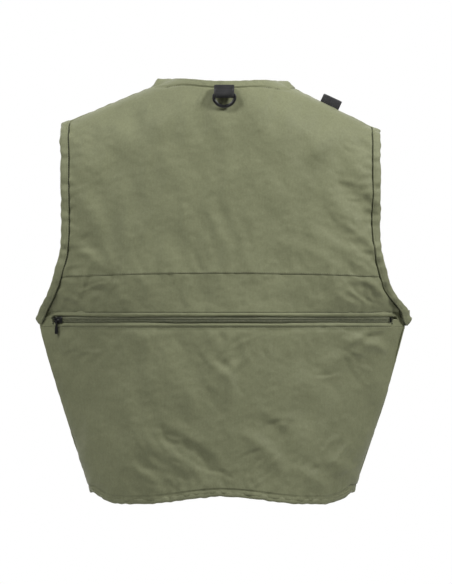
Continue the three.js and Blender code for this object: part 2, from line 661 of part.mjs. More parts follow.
// Flap: hinged on its seam above the pocket, over the pocket's top and down its front.
function flap(p) {
  const face = p.deep + 2 * PATCH + 3 * CLEAR, s = new THREE.Shape();
  s.moveTo(CLEAR, p.seam);
  s.lineTo(CLEAR, p.seam - 4);
  s.lineTo(face, p.z1 + 2);
  s.lineTo(face, p.flapLow);
  s.lineTo(face + FLAP, p.flapLow);
  s.lineTo(face + FLAP, p.z1 + 3);
  s.lineTo(CLEAR + FLAP, p.seam);
  const wide = p.x1 - p.x0 + 2 * FLAP_OVER;
  const bent = new THREE.ExtrudeGeometry(s, { depth: wide, bevelEnabled: false })
    .rotateX(Math.PI / 2).rotateZ(Math.PI / 2).translate(p.x0 - FLAP_OVER, 0, 0);
  const far = FLAP_OVER + 0.1;
  const outline = plate(pouchShape(p.x0 - far, p.x1 + far, p.flapLow - 0.1, p.seam + 9, 9), -5, 60);
  return keep(bent, outline);
}

const POCKETS = [
  { name: "chest", x0: 30, x1: 108, z0: 262, z1: 372, round: 14, deep: 12, seam: 386, flapLow: 338 },
  { name: "lower", x0: 30, x1: 130, z0: 34, z1: 178, round: 16, deep: 16, seam: 193, flapLow: 138 },
];

for (const [side, sign] of sides) {
  const put = (name, g, material) => add(name, mirrored(g, sign), material, fronts);
  put(`front_${side}_panel`, plate(frontPanelShape(), -CLOTH, 0), olive);
  put(`front_${side}_neck_binding`, plate(neckBindingShape(), BIND_PROUD - BIND_THICK, BIND_PROUD), olive);
  put(`front_${side}_hem_binding`, plate(hemBindingShape(), BIND_PROUD - BIND_THICK, BIND_PROUD), olive);
  put(`front_zip_${side}_tape`, frontZipHalf(up(FRONT_ZIP_LOW + 8) + CLEAR), tape);
  const stop = block(ZIP_EDGE - 0.2, ZIP_EDGE + 3, -3, 0.8, FRONT_ZIP_TOP + CLEAR, FRONT_ZIP_TOP + 3);
  put(`front_zip_top_stop_${side}`, stop, blackMetal);
  for (const p of POCKETS) {
    const middle = (p.x0 + p.x1) / 2, patch = 0.3 * (p.x1 - p.x0), low = p.flapLow + 6, high = p.z1 - 8;
    put(`${p.name}_pocket_${side}`, pouch(p), olive);
    put(`${p.name}_flap_${side}`, flap(p), olive);
    const patchAt = (y) => block(middle - patch, middle + patch, y, y + PATCH, low, high);
    put(`${p.name}_pocket_loop_patch_${side}`, patchAt(p.deep + CLEAR), tape);
    put(`${p.name}_flap_hook_patch_${side}`, patchAt(p.deep + 2 * CLEAR + PATCH), tape);
  }
}

// ---------- Front zip: slider and box on the left front, pin on the right ----------
const SLIDER_MIDDLE = -(ZIP_EDGE - SLIT / 2), BOX_HALF = 4.2, PIN_WIDE = 2.4;
const boxLow = up(FRONT_ZIP_LOW), boxTop = up(FRONT_ZIP_LOW + 8), sliderZ = boxTop + CLEAR + WING_LONG / 2;
const zipBox = block(SLIDER_MIDDLE - BOX_HALF, SLIDER_MIDDLE + BOX_HALF, -3.4, 1.9, boxLow, boxTop);
add("front_zip_box", zipBox, blackPlastic, fronts);
add("front_zip_pin", block(ZIP_EDGE, ZIP_EDGE + PIN_WIDE, -2.6, 0.2, boxLow, boxTop), blackPlastic, fronts);
const frontZip = placed(SLIDER_MIDDLE, 0, sliderZ, fronts);
add("front_zip_slider", slider().rotateY(Math.PI / 2), blackMetal, frontZip);
add("front_zip_pull", pull().translate(0, pullOut, -BAIL_HALF), blackMetal, frontZip);

// The origin is on the shoulders, where a hanger carries the vest.
vest.position.z = -HANGER_Z;
export default vest;
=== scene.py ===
# Fishing vest: cloth, bindings, zips, webbing and pockets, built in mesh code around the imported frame.
# Lengths are millimetres, with heights counted from the hem, as the vest was drawn.
# to_row() turns points into the frame's metres.
import json
import math

import bmesh
import bpy
import numpy as np
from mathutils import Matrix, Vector

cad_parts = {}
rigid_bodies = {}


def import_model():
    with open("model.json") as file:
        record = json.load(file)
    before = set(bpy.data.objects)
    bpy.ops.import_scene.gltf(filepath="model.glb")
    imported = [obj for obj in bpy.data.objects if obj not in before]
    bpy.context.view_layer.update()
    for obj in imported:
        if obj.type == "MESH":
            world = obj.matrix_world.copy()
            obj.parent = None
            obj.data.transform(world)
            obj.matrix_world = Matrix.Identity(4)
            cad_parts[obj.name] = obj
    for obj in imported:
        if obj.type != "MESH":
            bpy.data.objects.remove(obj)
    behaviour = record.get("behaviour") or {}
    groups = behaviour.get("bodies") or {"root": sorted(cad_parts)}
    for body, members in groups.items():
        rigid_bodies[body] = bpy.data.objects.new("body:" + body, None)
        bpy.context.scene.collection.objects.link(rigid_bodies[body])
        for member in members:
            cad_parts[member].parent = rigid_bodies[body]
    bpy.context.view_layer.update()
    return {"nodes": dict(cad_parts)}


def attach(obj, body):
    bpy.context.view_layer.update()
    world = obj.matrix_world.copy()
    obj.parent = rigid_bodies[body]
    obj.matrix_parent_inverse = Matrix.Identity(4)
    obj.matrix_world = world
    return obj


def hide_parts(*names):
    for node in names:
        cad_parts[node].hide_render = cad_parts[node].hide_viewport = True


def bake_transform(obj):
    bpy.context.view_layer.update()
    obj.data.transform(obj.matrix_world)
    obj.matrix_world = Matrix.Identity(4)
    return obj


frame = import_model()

# ---------- Driving dimensions ----------
# Most are the CAD model's; the bindings, the neck's edge and the hem's corners are drawn more finely here.
HANGER_Z = 600
HEM_HALF, SIDE_SLOPE, SIDE_BOW = 186, 0.357, 0.000204
PIT_Z, ARM_HALF, ARM_FLARE_TOP = 272, 231.5, 400
NECK_X, NECK_Z = 98, 614
SHOULDER_LEFT, SHOULDER_RIGHT = (612.5, 0.415), (611, 0.49)  # height at the neck, and fall per millimetre
SHOULDER_SLOPE = 0.46
BACK_NECK_Z, NECK_TILT = 617.5, 0.02
NECK_DIP, NECK_WIDER = 3.4, 3.2  # the neck band's edge is lower in the middle, and the band wider at its ends
HEM_WAVE, HEM_RISE, HEM_TURN, HEM_CORNER, HEM_LIFT = 130, 12, 148, 15, 2
YOKE_Z = 334
ZIP_Z, ZIP_OPEN, ZIP_BAND, ZIP_HALF, SLIDER_X = 269, 11.4, 11, 246, 238
BACK_DEPTH_HEM, BACK_DEPTH_ZIP, BACK_DEPTH_TOP = 118, 92, 60
BACK_FALL, FRONT_FALL, ARM_SPREAD = 90, 16, 70
FRONT_DEPTH_HEM, FRONT_DEPTH_TOP = 80, 14
FOLD_TOP_X, FOLD_TOP_Z, FOLD_HEM_X = 102, 588, 162
STRAP_Z, EDGE_X, VEE_Z = 577, 14, 430
ARM_BIND, NECK_BIND, HEM_BIND = 11.4, 9.5, 10
COVERED = 0.45  # share of a binding's width that the cloth reaches under it
CLOTH_THICK, LINING_THICK, TAPE_THICK, POCKET_THICK, FLAP_THICK = 0.9, 0.6, 0.8, 1.1, 1.2
# How far each armhole's edge lies outside the CAD model's, and how far it bulges at the bottom.
ARM_OUT_LEFT, ARM_OUT_RIGHT, PIT_LEFT, PIT_RIGHT = 5.0, -1.0, 2.0, 12.0
BULGE_UP, BULGE_TALL = 8, 20  # the bulge is widest this far above the armhole's bottom, and fades over this
TILT = math.atan((FRONT_DEPTH_HEM - FRONT_DEPTH_TOP) / FOLD_TOP_Z)
ZIP_EDGE, SLIT = 6, 1.6
POCKETS = {
    "chest": dict(x0=30, x1=108, z0=262, z1=372, deep=12, seam=386, low=338),
    "lower": dict(x0=30, x1=130, z0=34, z1=178, deep=16, seam=193, low=138),
}

rng = np.random.default_rng(7)


# ---------- Form of the shell ----------
def lerp(a, b, t):
    return a + (b - a) * t


def unit(vectors):
    """Vectors made one long."""
    return vectors / np.maximum(np.linalg.norm(vectors, axis=-1, keepdims=True), 1e-9)


def smoothstep(x, a, b):
    t = np.clip((x - a) / (b - a), 0, 1)
    return t * t * (3 - 2 * t)


def level(z):
    """Height with the band at the back zip taken out, so that one section fills the band."""
    z = np.asarray(z, float)
    low = z * ZIP_Z / (ZIP_Z - ZIP_BAND)
    return np.where(z < ZIP_Z - ZIP_BAND, low, np.where(z > ZIP_Z + ZIP_BAND, z - ZIP_BAND, ZIP_Z))


def side_half(z):
    l = np.minimum(level(z), ZIP_Z)
    return HEM_HALF + SIDE_SLOPE * l - SIDE_BOW * l * l


def section_half(z):
    """Half-width of the whole section, which goes on opening beyond the armholes' edges."""
    above = np.maximum(0, level(z) - ZIP_Z)
    return side_half(z) + ARM_SPREAD * (1 - np.exp(-above / 60))


def shoulder_z(x):
    x = np.asarray(x, float)
    top = np.where(x < 0, SHOULDER_LEFT[0], SHOULDER_RIGHT[0])
    slope = np.where(x < 0, SHOULDER_LEFT[1], SHOULDER_RIGHT[1])
    return top - slope * (np.abs(x) - NECK_X)


def arm_edge(z, front):
    z = np.asarray(z, float)
    s = np.clip((z - PIT_Z) / (ARM_FLARE_TOP - PIT_Z), 0, 1)
    flare = (side_half(ZIP_Z) - ARM_HALF) * (1 - s) ** 1.8
    deeper = 9 * np.sin(np.pi * np.clip((z - PIT_Z) / 280, 0, 1)) if front else 0
    return ARM_HALF + flare - deeper


def arm_slope(z, front):
    return (arm_edge(z + 1, front) - arm_edge(z - 1, front)) / 2


def fall(x, z, height):
    """Share of the depth that is left on the way up to the shoulder line."""
    d = np.clip((shoulder_z(x) - z) / height, 0, 1)
    return np.sqrt(1 - (1 - d) ** 2)


def back_depth(z):
    l = level(z)
    below = lerp(BACK_DEPTH_HEM, BACK_DEPTH_ZIP, l / ZIP_Z)
    above = lerp(BACK_DEPTH_ZIP, BACK_DEPTH_TOP, (l - ZIP_Z) / (NECK_Z - ZIP_Z))
    return np.where(l < ZIP_Z, below, above)


def arc_radius(half, depth):
    """Radius of an arc over a chord's half and its depth."""
    return (half * half + depth * depth) / (2 * depth)


def back_y(x, z):
    half, depth = section_half(z), back_depth(z)
    u = np.minimum(1, np.abs(x) / half)
    radius = arc_radius(half, depth)
    arc = np.sqrt(radius ** 2 - (u * half) ** 2) - (radius - depth)
    oval = depth * np.sqrt(1 - u * u)
    return -lerp(oval, arc, smoothstep(level(z), 0, 230)) * fall(x, z, BACK_FALL)


def fold_x(z):
    return lerp(FOLD_HEM_X, FOLD_TOP_X, np.asarray(z, float) / FOLD_TOP_Z)


def front_plane_y(z):
    return lerp(FRONT_DEPTH_HEM, FRONT_DEPTH_TOP, np.asarray(z, float) / FOLD_TOP_Z)


def front_y(x, z):
    t = np.clip((np.abs(x) - fold_x(z)) / (section_half(z) - fold_x(z)), 0, 1)
    return front_plane_y(z) * np.sqrt(1 - t ** 2.5) * fall(x, z, FRONT_FALL)


def hem_z(x):
    a = np.abs(np.asarray(x, float))
    corner = HEM_CORNER * np.clip((a - HEM_TURN) / (HEM_HALF - HEM_TURN), 0, 1) ** 2
    rise = HEM_RISE / 2 * (1 + np.cos(np.pi * np.minimum(a, HEM_WAVE) / HEM_WAVE))
    return corner + rise + HEM_LIFT


def neck_curve(t):
    t = np.asarray(t, float)
    x = (1 - t) ** 2 * NECK_X + 2 * t * (1 - t) * 88 + t * t * EDGE_X
    z = (1 - t) ** 2 * NECK_Z + 2 * t * (1 - t) * 520 + t * t * VEE_Z
    return x, z


def neck_x(z):
    x, height = neck_curve(np.linspace(1, 0, 60))
    return np.interp(z, height, x)


def back_neck_z(x):
    return BACK_NECK_Z - NECK_TILT * np.asarray(x, float) + NECK_DIP * smoothstep(np.abs(x), 10, 60)


# ---------- Creases and unevenness of the cloth ----------
class Waves:
    """A smooth field of unit size made of sine waves in many directions, its wavelengths within a range."""

    def __init__(self, shortest, longest, count, stretch=1.0):
        turn = rng.uniform(0, np.pi, count)
        pitch = 2 * np.pi / np.exp(rng.uniform(np.log(shortest), np.log(longest), count))
        self.kx, self.kz = pitch * np.cos(turn), pitch * np.sin(turn) / stretch
        self.phase = rng.uniform(0, 2 * np.pi, count)
        self.scale = 1 / math.sqrt(count / 2)

    def __call__(self, x, z):
        x, z = np.asarray(x, float)[..., None], np.asarray(z, float)[..., None]
        return np.sin(self.kx * x + self.kz * z + self.phase).sum(-1) * self.scale


broad = Waves(90, 260, 9, stretch=1.8)
middling = Waves(28, 70, 14, stretch=1.5)
fine = Waves(11, 26, 26)
along_seams = Waves(11, 26, 9)


def crease(x, z, start, end, width, height):
    """A fold along a line: a ridge with a shallower hollow beside it, dying out at both ends."""
    (x0, z0), (x1, z1) = start, end
    length = math.hypot(x1 - x0, z1 - z0)
    ux, uz = (x1 - x0) / length, (z1 - z0) / length
    t = ((x - x0) * ux + (z - z0) * uz) / length
    bend = 0.06 * length * np.sin(np.pi * np.clip(t, 0, 1))
    s = ((x - x0) * -uz + (z - z0) * ux - bend) / width
    ends = np.sin(np.pi * np.clip((t + 0.12) / 1.24, 0, 1)) ** 0.8
    return height * ends * (np.exp(-s ** 2) - 0.65 * np.exp(-(s - 1.5) ** 2))


# Folds of the back: start and end (across, height), width and height of the ridge.
BACK_CREASES = [
    ((-30, 440), (8, 345), 11, 1.5), ((2, 425), (-14, 345), 9, -1.2), ((22, 410), (30, 350), 8, 1.0),
    ((-8, 560), (6, 440), 16, 1.0), ((150, 455), (232, 330), 13, 1.9), ((176, 470), (236, 392), 10, -1.4),
    ((128, 395), (226, 318), 12, 1.6), ((196, 385), (240, 318), 7, -1.4),
    ((90, 380), (170, 345), 10, 0.9), ((-206, 452), (-170, 356), 13, 1.2),
    ((-226, 380), (-176, 346), 9, 1.3), ((-190, 330), (-150, 318), 6, 0.8),
    ((-206, 318), (-160, 300), 6, -0.9), ((-235, 305), (-205, 288), 5, 1.2),
    ((200, 330), (238, 300), 6, 1.3), ((-170, 560), (-110, 500), 18, 1.2),
    ((170, 548), (110, 500), 16, 1.2), ((-60, 585), (-110, 540), 14, 1.1),
    ((60, 585), (112, 540), 12, 1.0), ((26, 585), (44, 520), 10, -0.8),
    ((-24, 588), (-40, 530), 10, -0.8),
    # below the zip
    ((4, 252), (6, 120), 7, 1.2), ((-20, 250), (6, 205), 8, 1.1), ((34, 232), (-6, 198), 7, -1.2),
    ((-14, 205), (16, 176), 6, 1.2), ((-110, 92), (-10, 20), 12, 1.8), ((-84, 104), (-8, 52), 9, -1.2),
    ((26, 106), (88, 52), 11, 1.6), ((44, 128), (96, 96), 8, -1.0), ((150, 68), (196, 36), 10, 1.6),
    ((176, 240), (236, 226), 8, 1.9), ((186, 226), (240, 250), 6, -1.6),
    ((150, 200), (226, 236), 12, 1.2), ((-236, 244), (-190, 214), 10, 1.5),
    ((-246, 226), (-206, 180), 9, -1.0), ((-176, 150), (-200, 60), 14, 1.3),
    ((120, 190), (176, 110), 16, 1.2), ((-96, 230), (-60, 150), 18, 1.0),
    ((80, 236), (70, 150), 16, -0.9), ((-140, 60), (-90, 22), 9, 1.2), ((104, 54), (150, 24), 9, 1.1),
]
FRONT_CREASES = [
    ((120, 560), (190, 470), 13, 1.8), ((150, 470), (214, 380), 12, 1.6), ((130, 420), (206, 300), 14, 1.5),
    ((150, 300), (236, 262), 10, 1.8), ((140, 240), (232, 190), 13, 1.6), ((150, 120), (196, 30), 12, 1.5),
    ((64, 500), (96, 430), 9, 1.0), ((30, 250), (100, 214), 9, 0.9), ((20, 232), (118, 228), 8, -0.7),
]


FOLD_REACH = 42  # a short fold has died out this far from its middle


class Wrinkles:
    """Many short folds running away from the seams: lengths, widths and heights within given ranges."""

    def __init__(self, places):
        self.folds = []
        for x0, x1, z0, z1, turn, count in places:
            for _ in range(count):
                x, z = rng.uniform(x0, x1), rng.uniform(z0, z1)
                a = math.radians(turn + rng.uniform(-38, 38))
                half = rng.uniform(9, 26)
                step = (half * math.cos(a), half * math.sin(a))
                height = rng.uniform(0.35, 0.95) * rng.choice((-1, 1))
                start, end = (x - step[0], z - step[1]), (x + step[0], z + step[1])
                self.folds.append((start, end, rng.uniform(2.6, 5.2), height))

    def __call__(self, x, z):
        x, z = np.broadcast_arrays(x, z)
        total = np.zeros(x.shape)
        for start, end, width, height in self.folds:
            middle_x, middle_z = (start[0] + end[0]) / 2, (start[1] + end[1]) / 2
            near = (np.abs(x - middle_x) < FOLD_REACH) & (np.abs(z - middle_z) < FOLD_REACH)
            total[near] += crease(x[near], z[near], start, end, width, height)
        return total


# Where the short folds gather: left, right, low and high bounds, their direction in degrees, and how many.
wrinkles = Wrinkles((
    (-236, 236, 280, 322, 90, 26), (-236, 236, 212, 254, 90, 30), (-230, 230, 340, 370, 90, 18),
    (-222, -176, 300, 540, 10, 16), (176, 222, 300, 540, 170, 20), (-160, 160, 22, 60, 90, 20),
    (-140, -20, 24, 120, 140, 14), (20, 140, 24, 120, 40, 14), (-24, 40, 150, 245, 90, 10),
    (-60, 60, 350, 470, 90, 14), (-110, 110, 540, 600, 90, 14), (150, 236, 180, 262, 160, 12),
    (160, 232, 300, 440, 140, 22), (-110, 60, 30, 110, 135, 24), (-30, 40, 180, 240, 60, 10),
    (-230, -170, 190, 250, 30, 12), (150, 200, 20, 90, 60, 10),
))


def mirrored(places):
    """Each of the wearer's right-hand places with its mirror image before it."""
    both = []
    for x0, x1, z0, z1, turn, count in places:
        both += [(-x1, -x0, z0, z1, 180 - turn, count), (x0, x1, z0, z1, turn, count)]
    return both


front_wrinkles = Wrinkles(mirrored((
    (140, 220, 290, 540, 160, 26), (150, 230, 60, 260, 160, 18), (30, 110, 400, 560, 100, 12),
    (24, 120, 200, 256, 90, 10), (20, 150, 12, 32, 90, 12),
)))


def seam_pucker(x, z, distance, reach, height):
    """Small waves that a seam draws into the cloth beside it."""
    return height * np.exp(-np.abs(distance) / reach) * along_seams(x, 0.35 * z)


def yoke_seam_z(x):
    return YOKE_Z + 2.5 - 5.5 * (np.asarray(x, float) / 240) ** 2


def opening(x):
    """Half-height of the back zip's opening, which closes just past the zip's ends."""
    closing = smoothstep(np.abs(x), ZIP_HALF + 0.5, ZIP_HALF + 5)
    return lerp(ZIP_OPEN / 2, 0.25, closing)


def zip_wave(x):
    """How far the folded edges beside the back zip wander up and down."""
    return 0.5 * np.sin(np.asarray(x, float) / 47 + 1.0) + 0.35 * np.sin(np.asarray(x, float) / 21)


def stitch_groove(distance, depth=0.55, width=0.9):
    return -depth * np.exp(-(distance / width) ** 2)


ZIP_STITCH = 10.6  # how far the stitching lies from the zip's middle
SHEET_INSIDE = 2.6  # how far inside the armhole's edge the sheets end, under the binding


def arm_out(x, z):
    """How far an armhole's edge lies outside arm_edge: its own set, and a bulge at the bottom."""
    bulge = np.exp(-((np.asarray(z, float) - PIT_Z - BULGE_UP) / BULGE_TALL) ** 2)
    return np.where(np.asarray(x) < 0, ARM_OUT_LEFT + PIT_LEFT * bulge, ARM_OUT_RIGHT + PIT_RIGHT * bulge)


def arm_distance(x, z, front):
    """Distance from the inner edge of the armhole binding."""
    inwards = arm_edge(z, front) + arm_out(x, z) - np.abs(x)
    return inwards / np.hypot(1, arm_slope(z, front)) - ARM_BIND


def stretched(x, z, half):
    """Places across a sheet, its outer part pulled out to the bulge at the bottom of the armhole."""
    bulge = arm_out(x, z) - np.where(x < 0, ARM_OUT_LEFT, ARM_OUT_RIGHT)
    return x + np.sign(x) * bulge * smoothstep(np.abs(x), half - 45, half) * smoothstep(z, PIT_Z - 12, PIT_Z)


def ditch(distance):
    """The cloth drawn down beside a binding's inner edge."""
    return -2.5 * np.exp(-((distance - 0.55) / 0.95) ** 2)


def back_relief(x, z):
    """Height of the back's cloth above its form."""
    x, z = np.asarray(x, float), np.asarray(z, float)
    seam, zip_gap = z - yoke_seam_z(x), np.abs(z - ZIP_Z)
    calm = smoothstep(zip_gap, 4, 30) * smoothstep(back_neck_z(x) - z, 6, 30)
    folds = sum(crease(x, z, *c) for c in BACK_CREASES)
    shoulder = smoothstep(shoulder_z(x) - z, 0, 26)
    d = 1.35 * broad(x, z) + 0.65 * middling(x, z) + 1.8 * folds + wrinkles(x, z)
    d = (d * (0.25 + 0.75 * calm) + 0.16 * fine(x, z)) * shoulder
    d = d + seam_pucker(x, z, seam, 10, 0.45) + seam_pucker(x, z, zip_gap - ZIP_STITCH, 7, 0.35)
    beside_arm = arm_distance(x, z, False)
    d = d + np.where(z > PIT_Z, seam_pucker(z, x, beside_arm, 12, 0.7) + ditch(beside_arm), 0)
    above_hem = z - hem_z(x) - HEM_BIND
    d = d + seam_pucker(x, z, above_hem, 12, 0.6) + ditch(above_hem)
    below_band = back_neck_z(x) - NECK_BIND - NECK_WIDER * smoothstep(np.abs(x) * 1.04, 58, 96) - z
    d = d + ditch(below_band) * (np.abs(x) < NECK_X)
    # The yoke laps over the band below it.
    lap = smoothstep(seam, -0.5, 0.4)
    d = d + 0.9 * lap * np.exp(-np.maximum(seam, 0) / 9) - 1.3 * (1 - lap) * np.exp(np.minimum(seam, 0) / 0.6)
    # Folded edges beside the zip stand up between their stitching and the opening.
    beside_zip = 1 - smoothstep(np.abs(x), ZIP_HALF - 2, ZIP_HALF + 6)
    d = d + 0.8 * beside_zip * np.exp(-((zip_gap - 7.6) / 1.7) ** 2)
    d = d - 0.6 * (z < ZIP_Z) * np.exp(-((zip_gap - 14.0) / 3.4) ** 2)
    return d + stitch_groove(zip_gap - ZIP_STITCH, 0.75, 0.65) * np.where(z < ZIP_Z, 1, beside_zip)


FRONT_PART = 500  # the fronts take their waves from here on, so that they differ from the back


def within(at, low, high):
    """One between two bounds, and nothing a little outside them."""
    return smoothstep(at, low - 12, low + 4) * (1 - smoothstep(at, high - 4, high + 12))


def front_relief(x, z):
    """Height of the fronts' cloth above their form: calm beside the zip, and flat under the pockets."""
    a = np.abs(x)
    folds = sum(crease(a, z, *c) for c in FRONT_CREASES)
    d = 1.2 * broad(x + FRONT_PART, z) + 0.45 * middling(x + FRONT_PART, z) + folds + front_wrinkles(x, z)
    d = d * (0.3 + 0.7 * smoothstep(a, 10, 40))
    covered = sum(within(a, p["x0"], p["x1"]) * within(z, p["z0"], p["seam"]) for p in POCKETS.values())
    covered = np.clip(covered, 0, 1)
    d = d * (1 - covered) - 0.5 * covered
    beside_arm = arm_distance(x, z, True)
    d = d + np.where(z > PIT_Z, seam_pucker(z, x, beside_arm, 9, 0.5) + ditch(beside_arm), 0)
    d = d + ditch(z - hem_z(x) - HEM_BIND)
    d = d + stitch_groove(a - EDGE_X - 5)
    return (d + 0.14 * fine(x, z)) * smoothstep(shoulder_z(x) - z, 0, 26)


def surface(x, z, base, relief, outward, lift=0.0):
    """Points of a relief over a form y = base(x, z)."""
    x, z = np.asarray(x, float), np.asarray(z, float)
    e = 0.8
    y = base(x, z)
    dx = (base(x + e, z) - base(x - e, z)) / (2 * e)
    dz = (base(x, z + e) - base(x, z - e)) / (2 * e)
    n = unit(np.stack([-dx, np.ones_like(y), -dz], -1) * outward)
    height = relief(x, z) + lift
    return np.stack([x, y, z], -1) + n * height[..., None], n


def back_point(x, z, lift=0.0):
    return surface(x, z, back_y, back_relief, -1, lift)


def front_point(x, z, lift=0.0):
    return surface(x, z, front_y, front_relief, 1, lift)


# ---------- Meshes ----------
def to_row(points):
    return (np.asarray(points, float) - (0, 0, HANGER_Z)) / 1000


def placed(name, mesh, material):
    """An object in the scene from a finished mesh."""
    mesh.shade_smooth()
    mesh.materials.append(material)
    obj = bpy.data.objects.new(name, mesh)
    bpy.context.collection.objects.link(obj)
    return obj


def written(name, bm):
    """A mesh from an edited one."""
    mesh = bpy.data.meshes.new(name)
    bm.to_mesh(mesh)
    bm.free()
    return mesh


def make(name, points, faces, material):
    """An object from drawn points and faces."""
    mesh = bpy.data.meshes.new(name)
    mesh.from_pydata([tuple(p) for p in to_row(np.asarray(points).reshape(-1, 3))], [], faces)
    mesh.validate()
    face_outward(mesh)
    return placed(name, mesh, material)


def face_outward(mesh):
    bm = bmesh.new()
    bm.from_mesh(mesh)
    bmesh.ops.recalc_face_normals(bm, faces=bm.faces)
    if bm.calc_volume(signed=True) < 0:
        bmesh.ops.reverse_faces(bm, faces=bm.faces)
    bm.to_mesh(mesh)
    bm.free()


def settle(piece, body, slot, *nodes):
    """Puts a piece on a body, in place of any CAD nodes named. Its slot is not used."""
    if nodes:
        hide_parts(*nodes)
    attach(piece, body)


def grid_normals(grid):
    du = np.gradient(grid, axis=1)
    dv = np.gradient(grid, axis=0)
    return unit(np.cross(du, dv))


def cloth(name, grid, outward, thick, material):
    """A closed sheet with rounded edges: outer face, inner face, and a rim between them."""
    rows, cols, _ = grid.shape
    n = grid_normals(grid) * outward
    inner = grid - n * thick
    j, i = np.meshgrid(np.arange(rows), np.arange(cols), indexing="ij")
    at = (j * cols + i)
    count = rows * cols
    q = np.stack([at[:-1, :-1], at[:-1, 1:], at[1:, 1:], at[1:, :-1]], -1).reshape(-1, 4)
    faces = [tuple(f) for f in q.tolist()]
    faces += [tuple(reversed([v + count for v in f])) for f in q.tolist()]
    border = [(0, k) for k in range(cols)] + [(k, cols - 1) for k in range(1, rows)]
    border += [(rows - 1, k) for k in range(cols - 2, -1, -1)] + [(k, 0) for k in range(rows - 2, 0, -1)]
    rim = []
    for a, b in border:
        inside = grid[min(max(a, 1), rows - 2), min(max(b, 1), cols - 2)]
        rim.append((grid[a, b] + inner[a, b]) / 2 + unit(grid[a, b] - inside) * thick * 0.45)
    points = np.concatenate([grid.reshape(-1, 3), inner.reshape(-1, 3), np.array(rim)])
    m = len(border)
    for k in range(m):
        a, b = border[k], border[(k + 1) % m]
        p, r = a[0] * cols + a[1], b[0] * cols + b[1]
        s, t = 2 * count + k, 2 * count + (k + 1) % m
        faces += [(p, r, t, s), (s, t, r + count, p + count)]
    return make(name, points, faces, material)


def skin(n, count, first=0, closed=False):
    """Faces through rings of n points each, with flat ends unless the rings close on themselves."""
    faces = []
    for ring in range(count if closed else count - 1):
        low, high = first + ring * n, first + ((ring + 1) % count) * n
        faces += [(low + k, low + (k + 1) % n, high + (k + 1) % n, high + k) for k in range(n)]
    if not closed:
        last = first + (count - 1) * n
        faces += [tuple(range(first + n - 1, first - 1, -1)), tuple(range(last, last + n))]
    return faces


def sweep(name, rings, material, closed=False):
    """A closed skin through rings of points."""
    rings = np.asarray(rings)
    return make(name, rings, skin(rings.shape[1], len(rings), closed=closed), material)


def joined(name, objects):
    """One object from several."""
    bm = bmesh.new()
    material = objects[0].data.materials[0]
    for o in objects:
        bm.from_mesh(o.data)
        bpy.data.objects.remove(o)
    return placed(name, written(name, bm), material)


def resample(path, step):
    """Points and running length at equal steps along a path."""
    path = np.asarray(path, float)
    gaps = np.linalg.norm(np.diff(path, axis=0), axis=1)
    run = np.concatenate([[0], np.cumsum(gaps)])
    s = np.linspace(0, run[-1], max(2, int(round(run[-1] / step)) + 1))
    return np.stack([np.interp(s, run, path[:, k]) for k in range(path.shape[1])], -1), s


def side_by_side(outer, inner, step):
    """Two paths resampled together at equal steps along both."""
    both, _ = resample(np.concatenate([outer, inner], 1), step)
    return both[:, :3], both[:, 3:]


def smoothed(path, times, closed=False):
    """A path with each point drawn towards its neighbours; the ends of an open one stay."""
    for _ in range(times):
        if closed:
            path = (np.roll(path, 1, 0) + 2 * path + np.roll(path, -1, 0)) / 4
        else:
            path = np.concatenate([path[:1], (path[:-2] + 2 * path[1:-1] + path[2:]) / 4, path[-1:]])
    return path


STITCH_LONG, STITCH_GAP, THREAD, DITCH_THREAD = 2.7, 0.75, 0.34, 0.52


def stitches(name, path, normals, sink=0.05, thick=THREAD):
    """A row of thread stitches lying along a path."""
    both, _ = resample(np.concatenate([path, normals], 1), STITCH_LONG + STITCH_GAP)
    points, faces = [], []
    for k in range(len(both) - 1):
        a, b = both[k, :3], both[k + 1, :3]
        up = unit(both[k, 3:])
        aside = np.cross(unit(b - a), up)
        start = len(points)
        for share, radius, height in ((0.0, 0.35, -0.3), (0.18, 1, 0), (0.6, 1, 0), (0.78, 0.35, -0.3)):
            middle = a + (b - a) * share + up * (height - sink)
            for q in range(6):
                turn = q * math.pi / 3
                points.append(middle + thick * radius * (aside * math.cos(turn) + up * math.sin(turn)))
        faces += skin(6, 4, start)
    return make(name, np.array(points), faces, thread)


def binding_profile(width, thick):
    """Section of a folded binding, as (across, height): round edges, and a groove along its stitching."""
    top = thick / 2
    across = [0.0, 0.5, 1.6, 3.2, width * 0.5, width - 2.9, width - 2.1, width - 1.3, width - 0.35, width]
    lift = [0.0, 0.62, 0.93, 1.06, 1.1, 1.04, 0.74, 0.98, 0.66, -0.3]
    upper = [(a, top * h) for a, h in zip(across, lift)]
    lower = [(a, -top * (0.9 if 0 < a < width else 0)) for a in across[1:-1]]
    return np.array(upper + lower[::-1])


BINDING_SUNK = 1.2  # how far a binding's middle lies under the surface that it edges


def binding(name, outer, inner, normals, width, closed=False, thick=5.0, pucker=0.4):
    """A folded binding between an edge path and an inner path, rippled along its seam."""
    profile = binding_profile(width, thick)
    run = np.concatenate([[0], np.cumsum(np.linalg.norm(np.diff(outer, axis=0), axis=1))])
    ripple = pucker * along_seams(run, run * 0)
    edge = pucker * along_seams(run + 400, run * 0)
    span = np.linalg.norm(inner - outer, axis=1, keepdims=True)
    aside = (inner - outer) / span
    rings = []
    for k in range(len(outer)):
        a = profile[:, 0:1] * span[k] / width + edge[k] * (1 - profile[:, 0:1] / width)
        h = profile[:, 1:2] * (1 + 0.12 * ripple[k] / pucker) - BINDING_SUNK + ripple[k] * 0.6
        rings.append(outer[k] + aside[k] * a + normals[k] * h)
    return sweep(name, rings, binding_cloth, closed)


def in_ditch(name, outer, inner, normals, closed=False):
    """Stitches along a binding's inner edge."""
    path = inner + unit(inner - outer) * 0.5 - normals * 0.9
    if closed:
        path, normals = np.concatenate([path, path[:1]]), np.concatenate([normals, normals[:1]])
    return stitches(name, path, normals, thick=DITCH_THREAD)


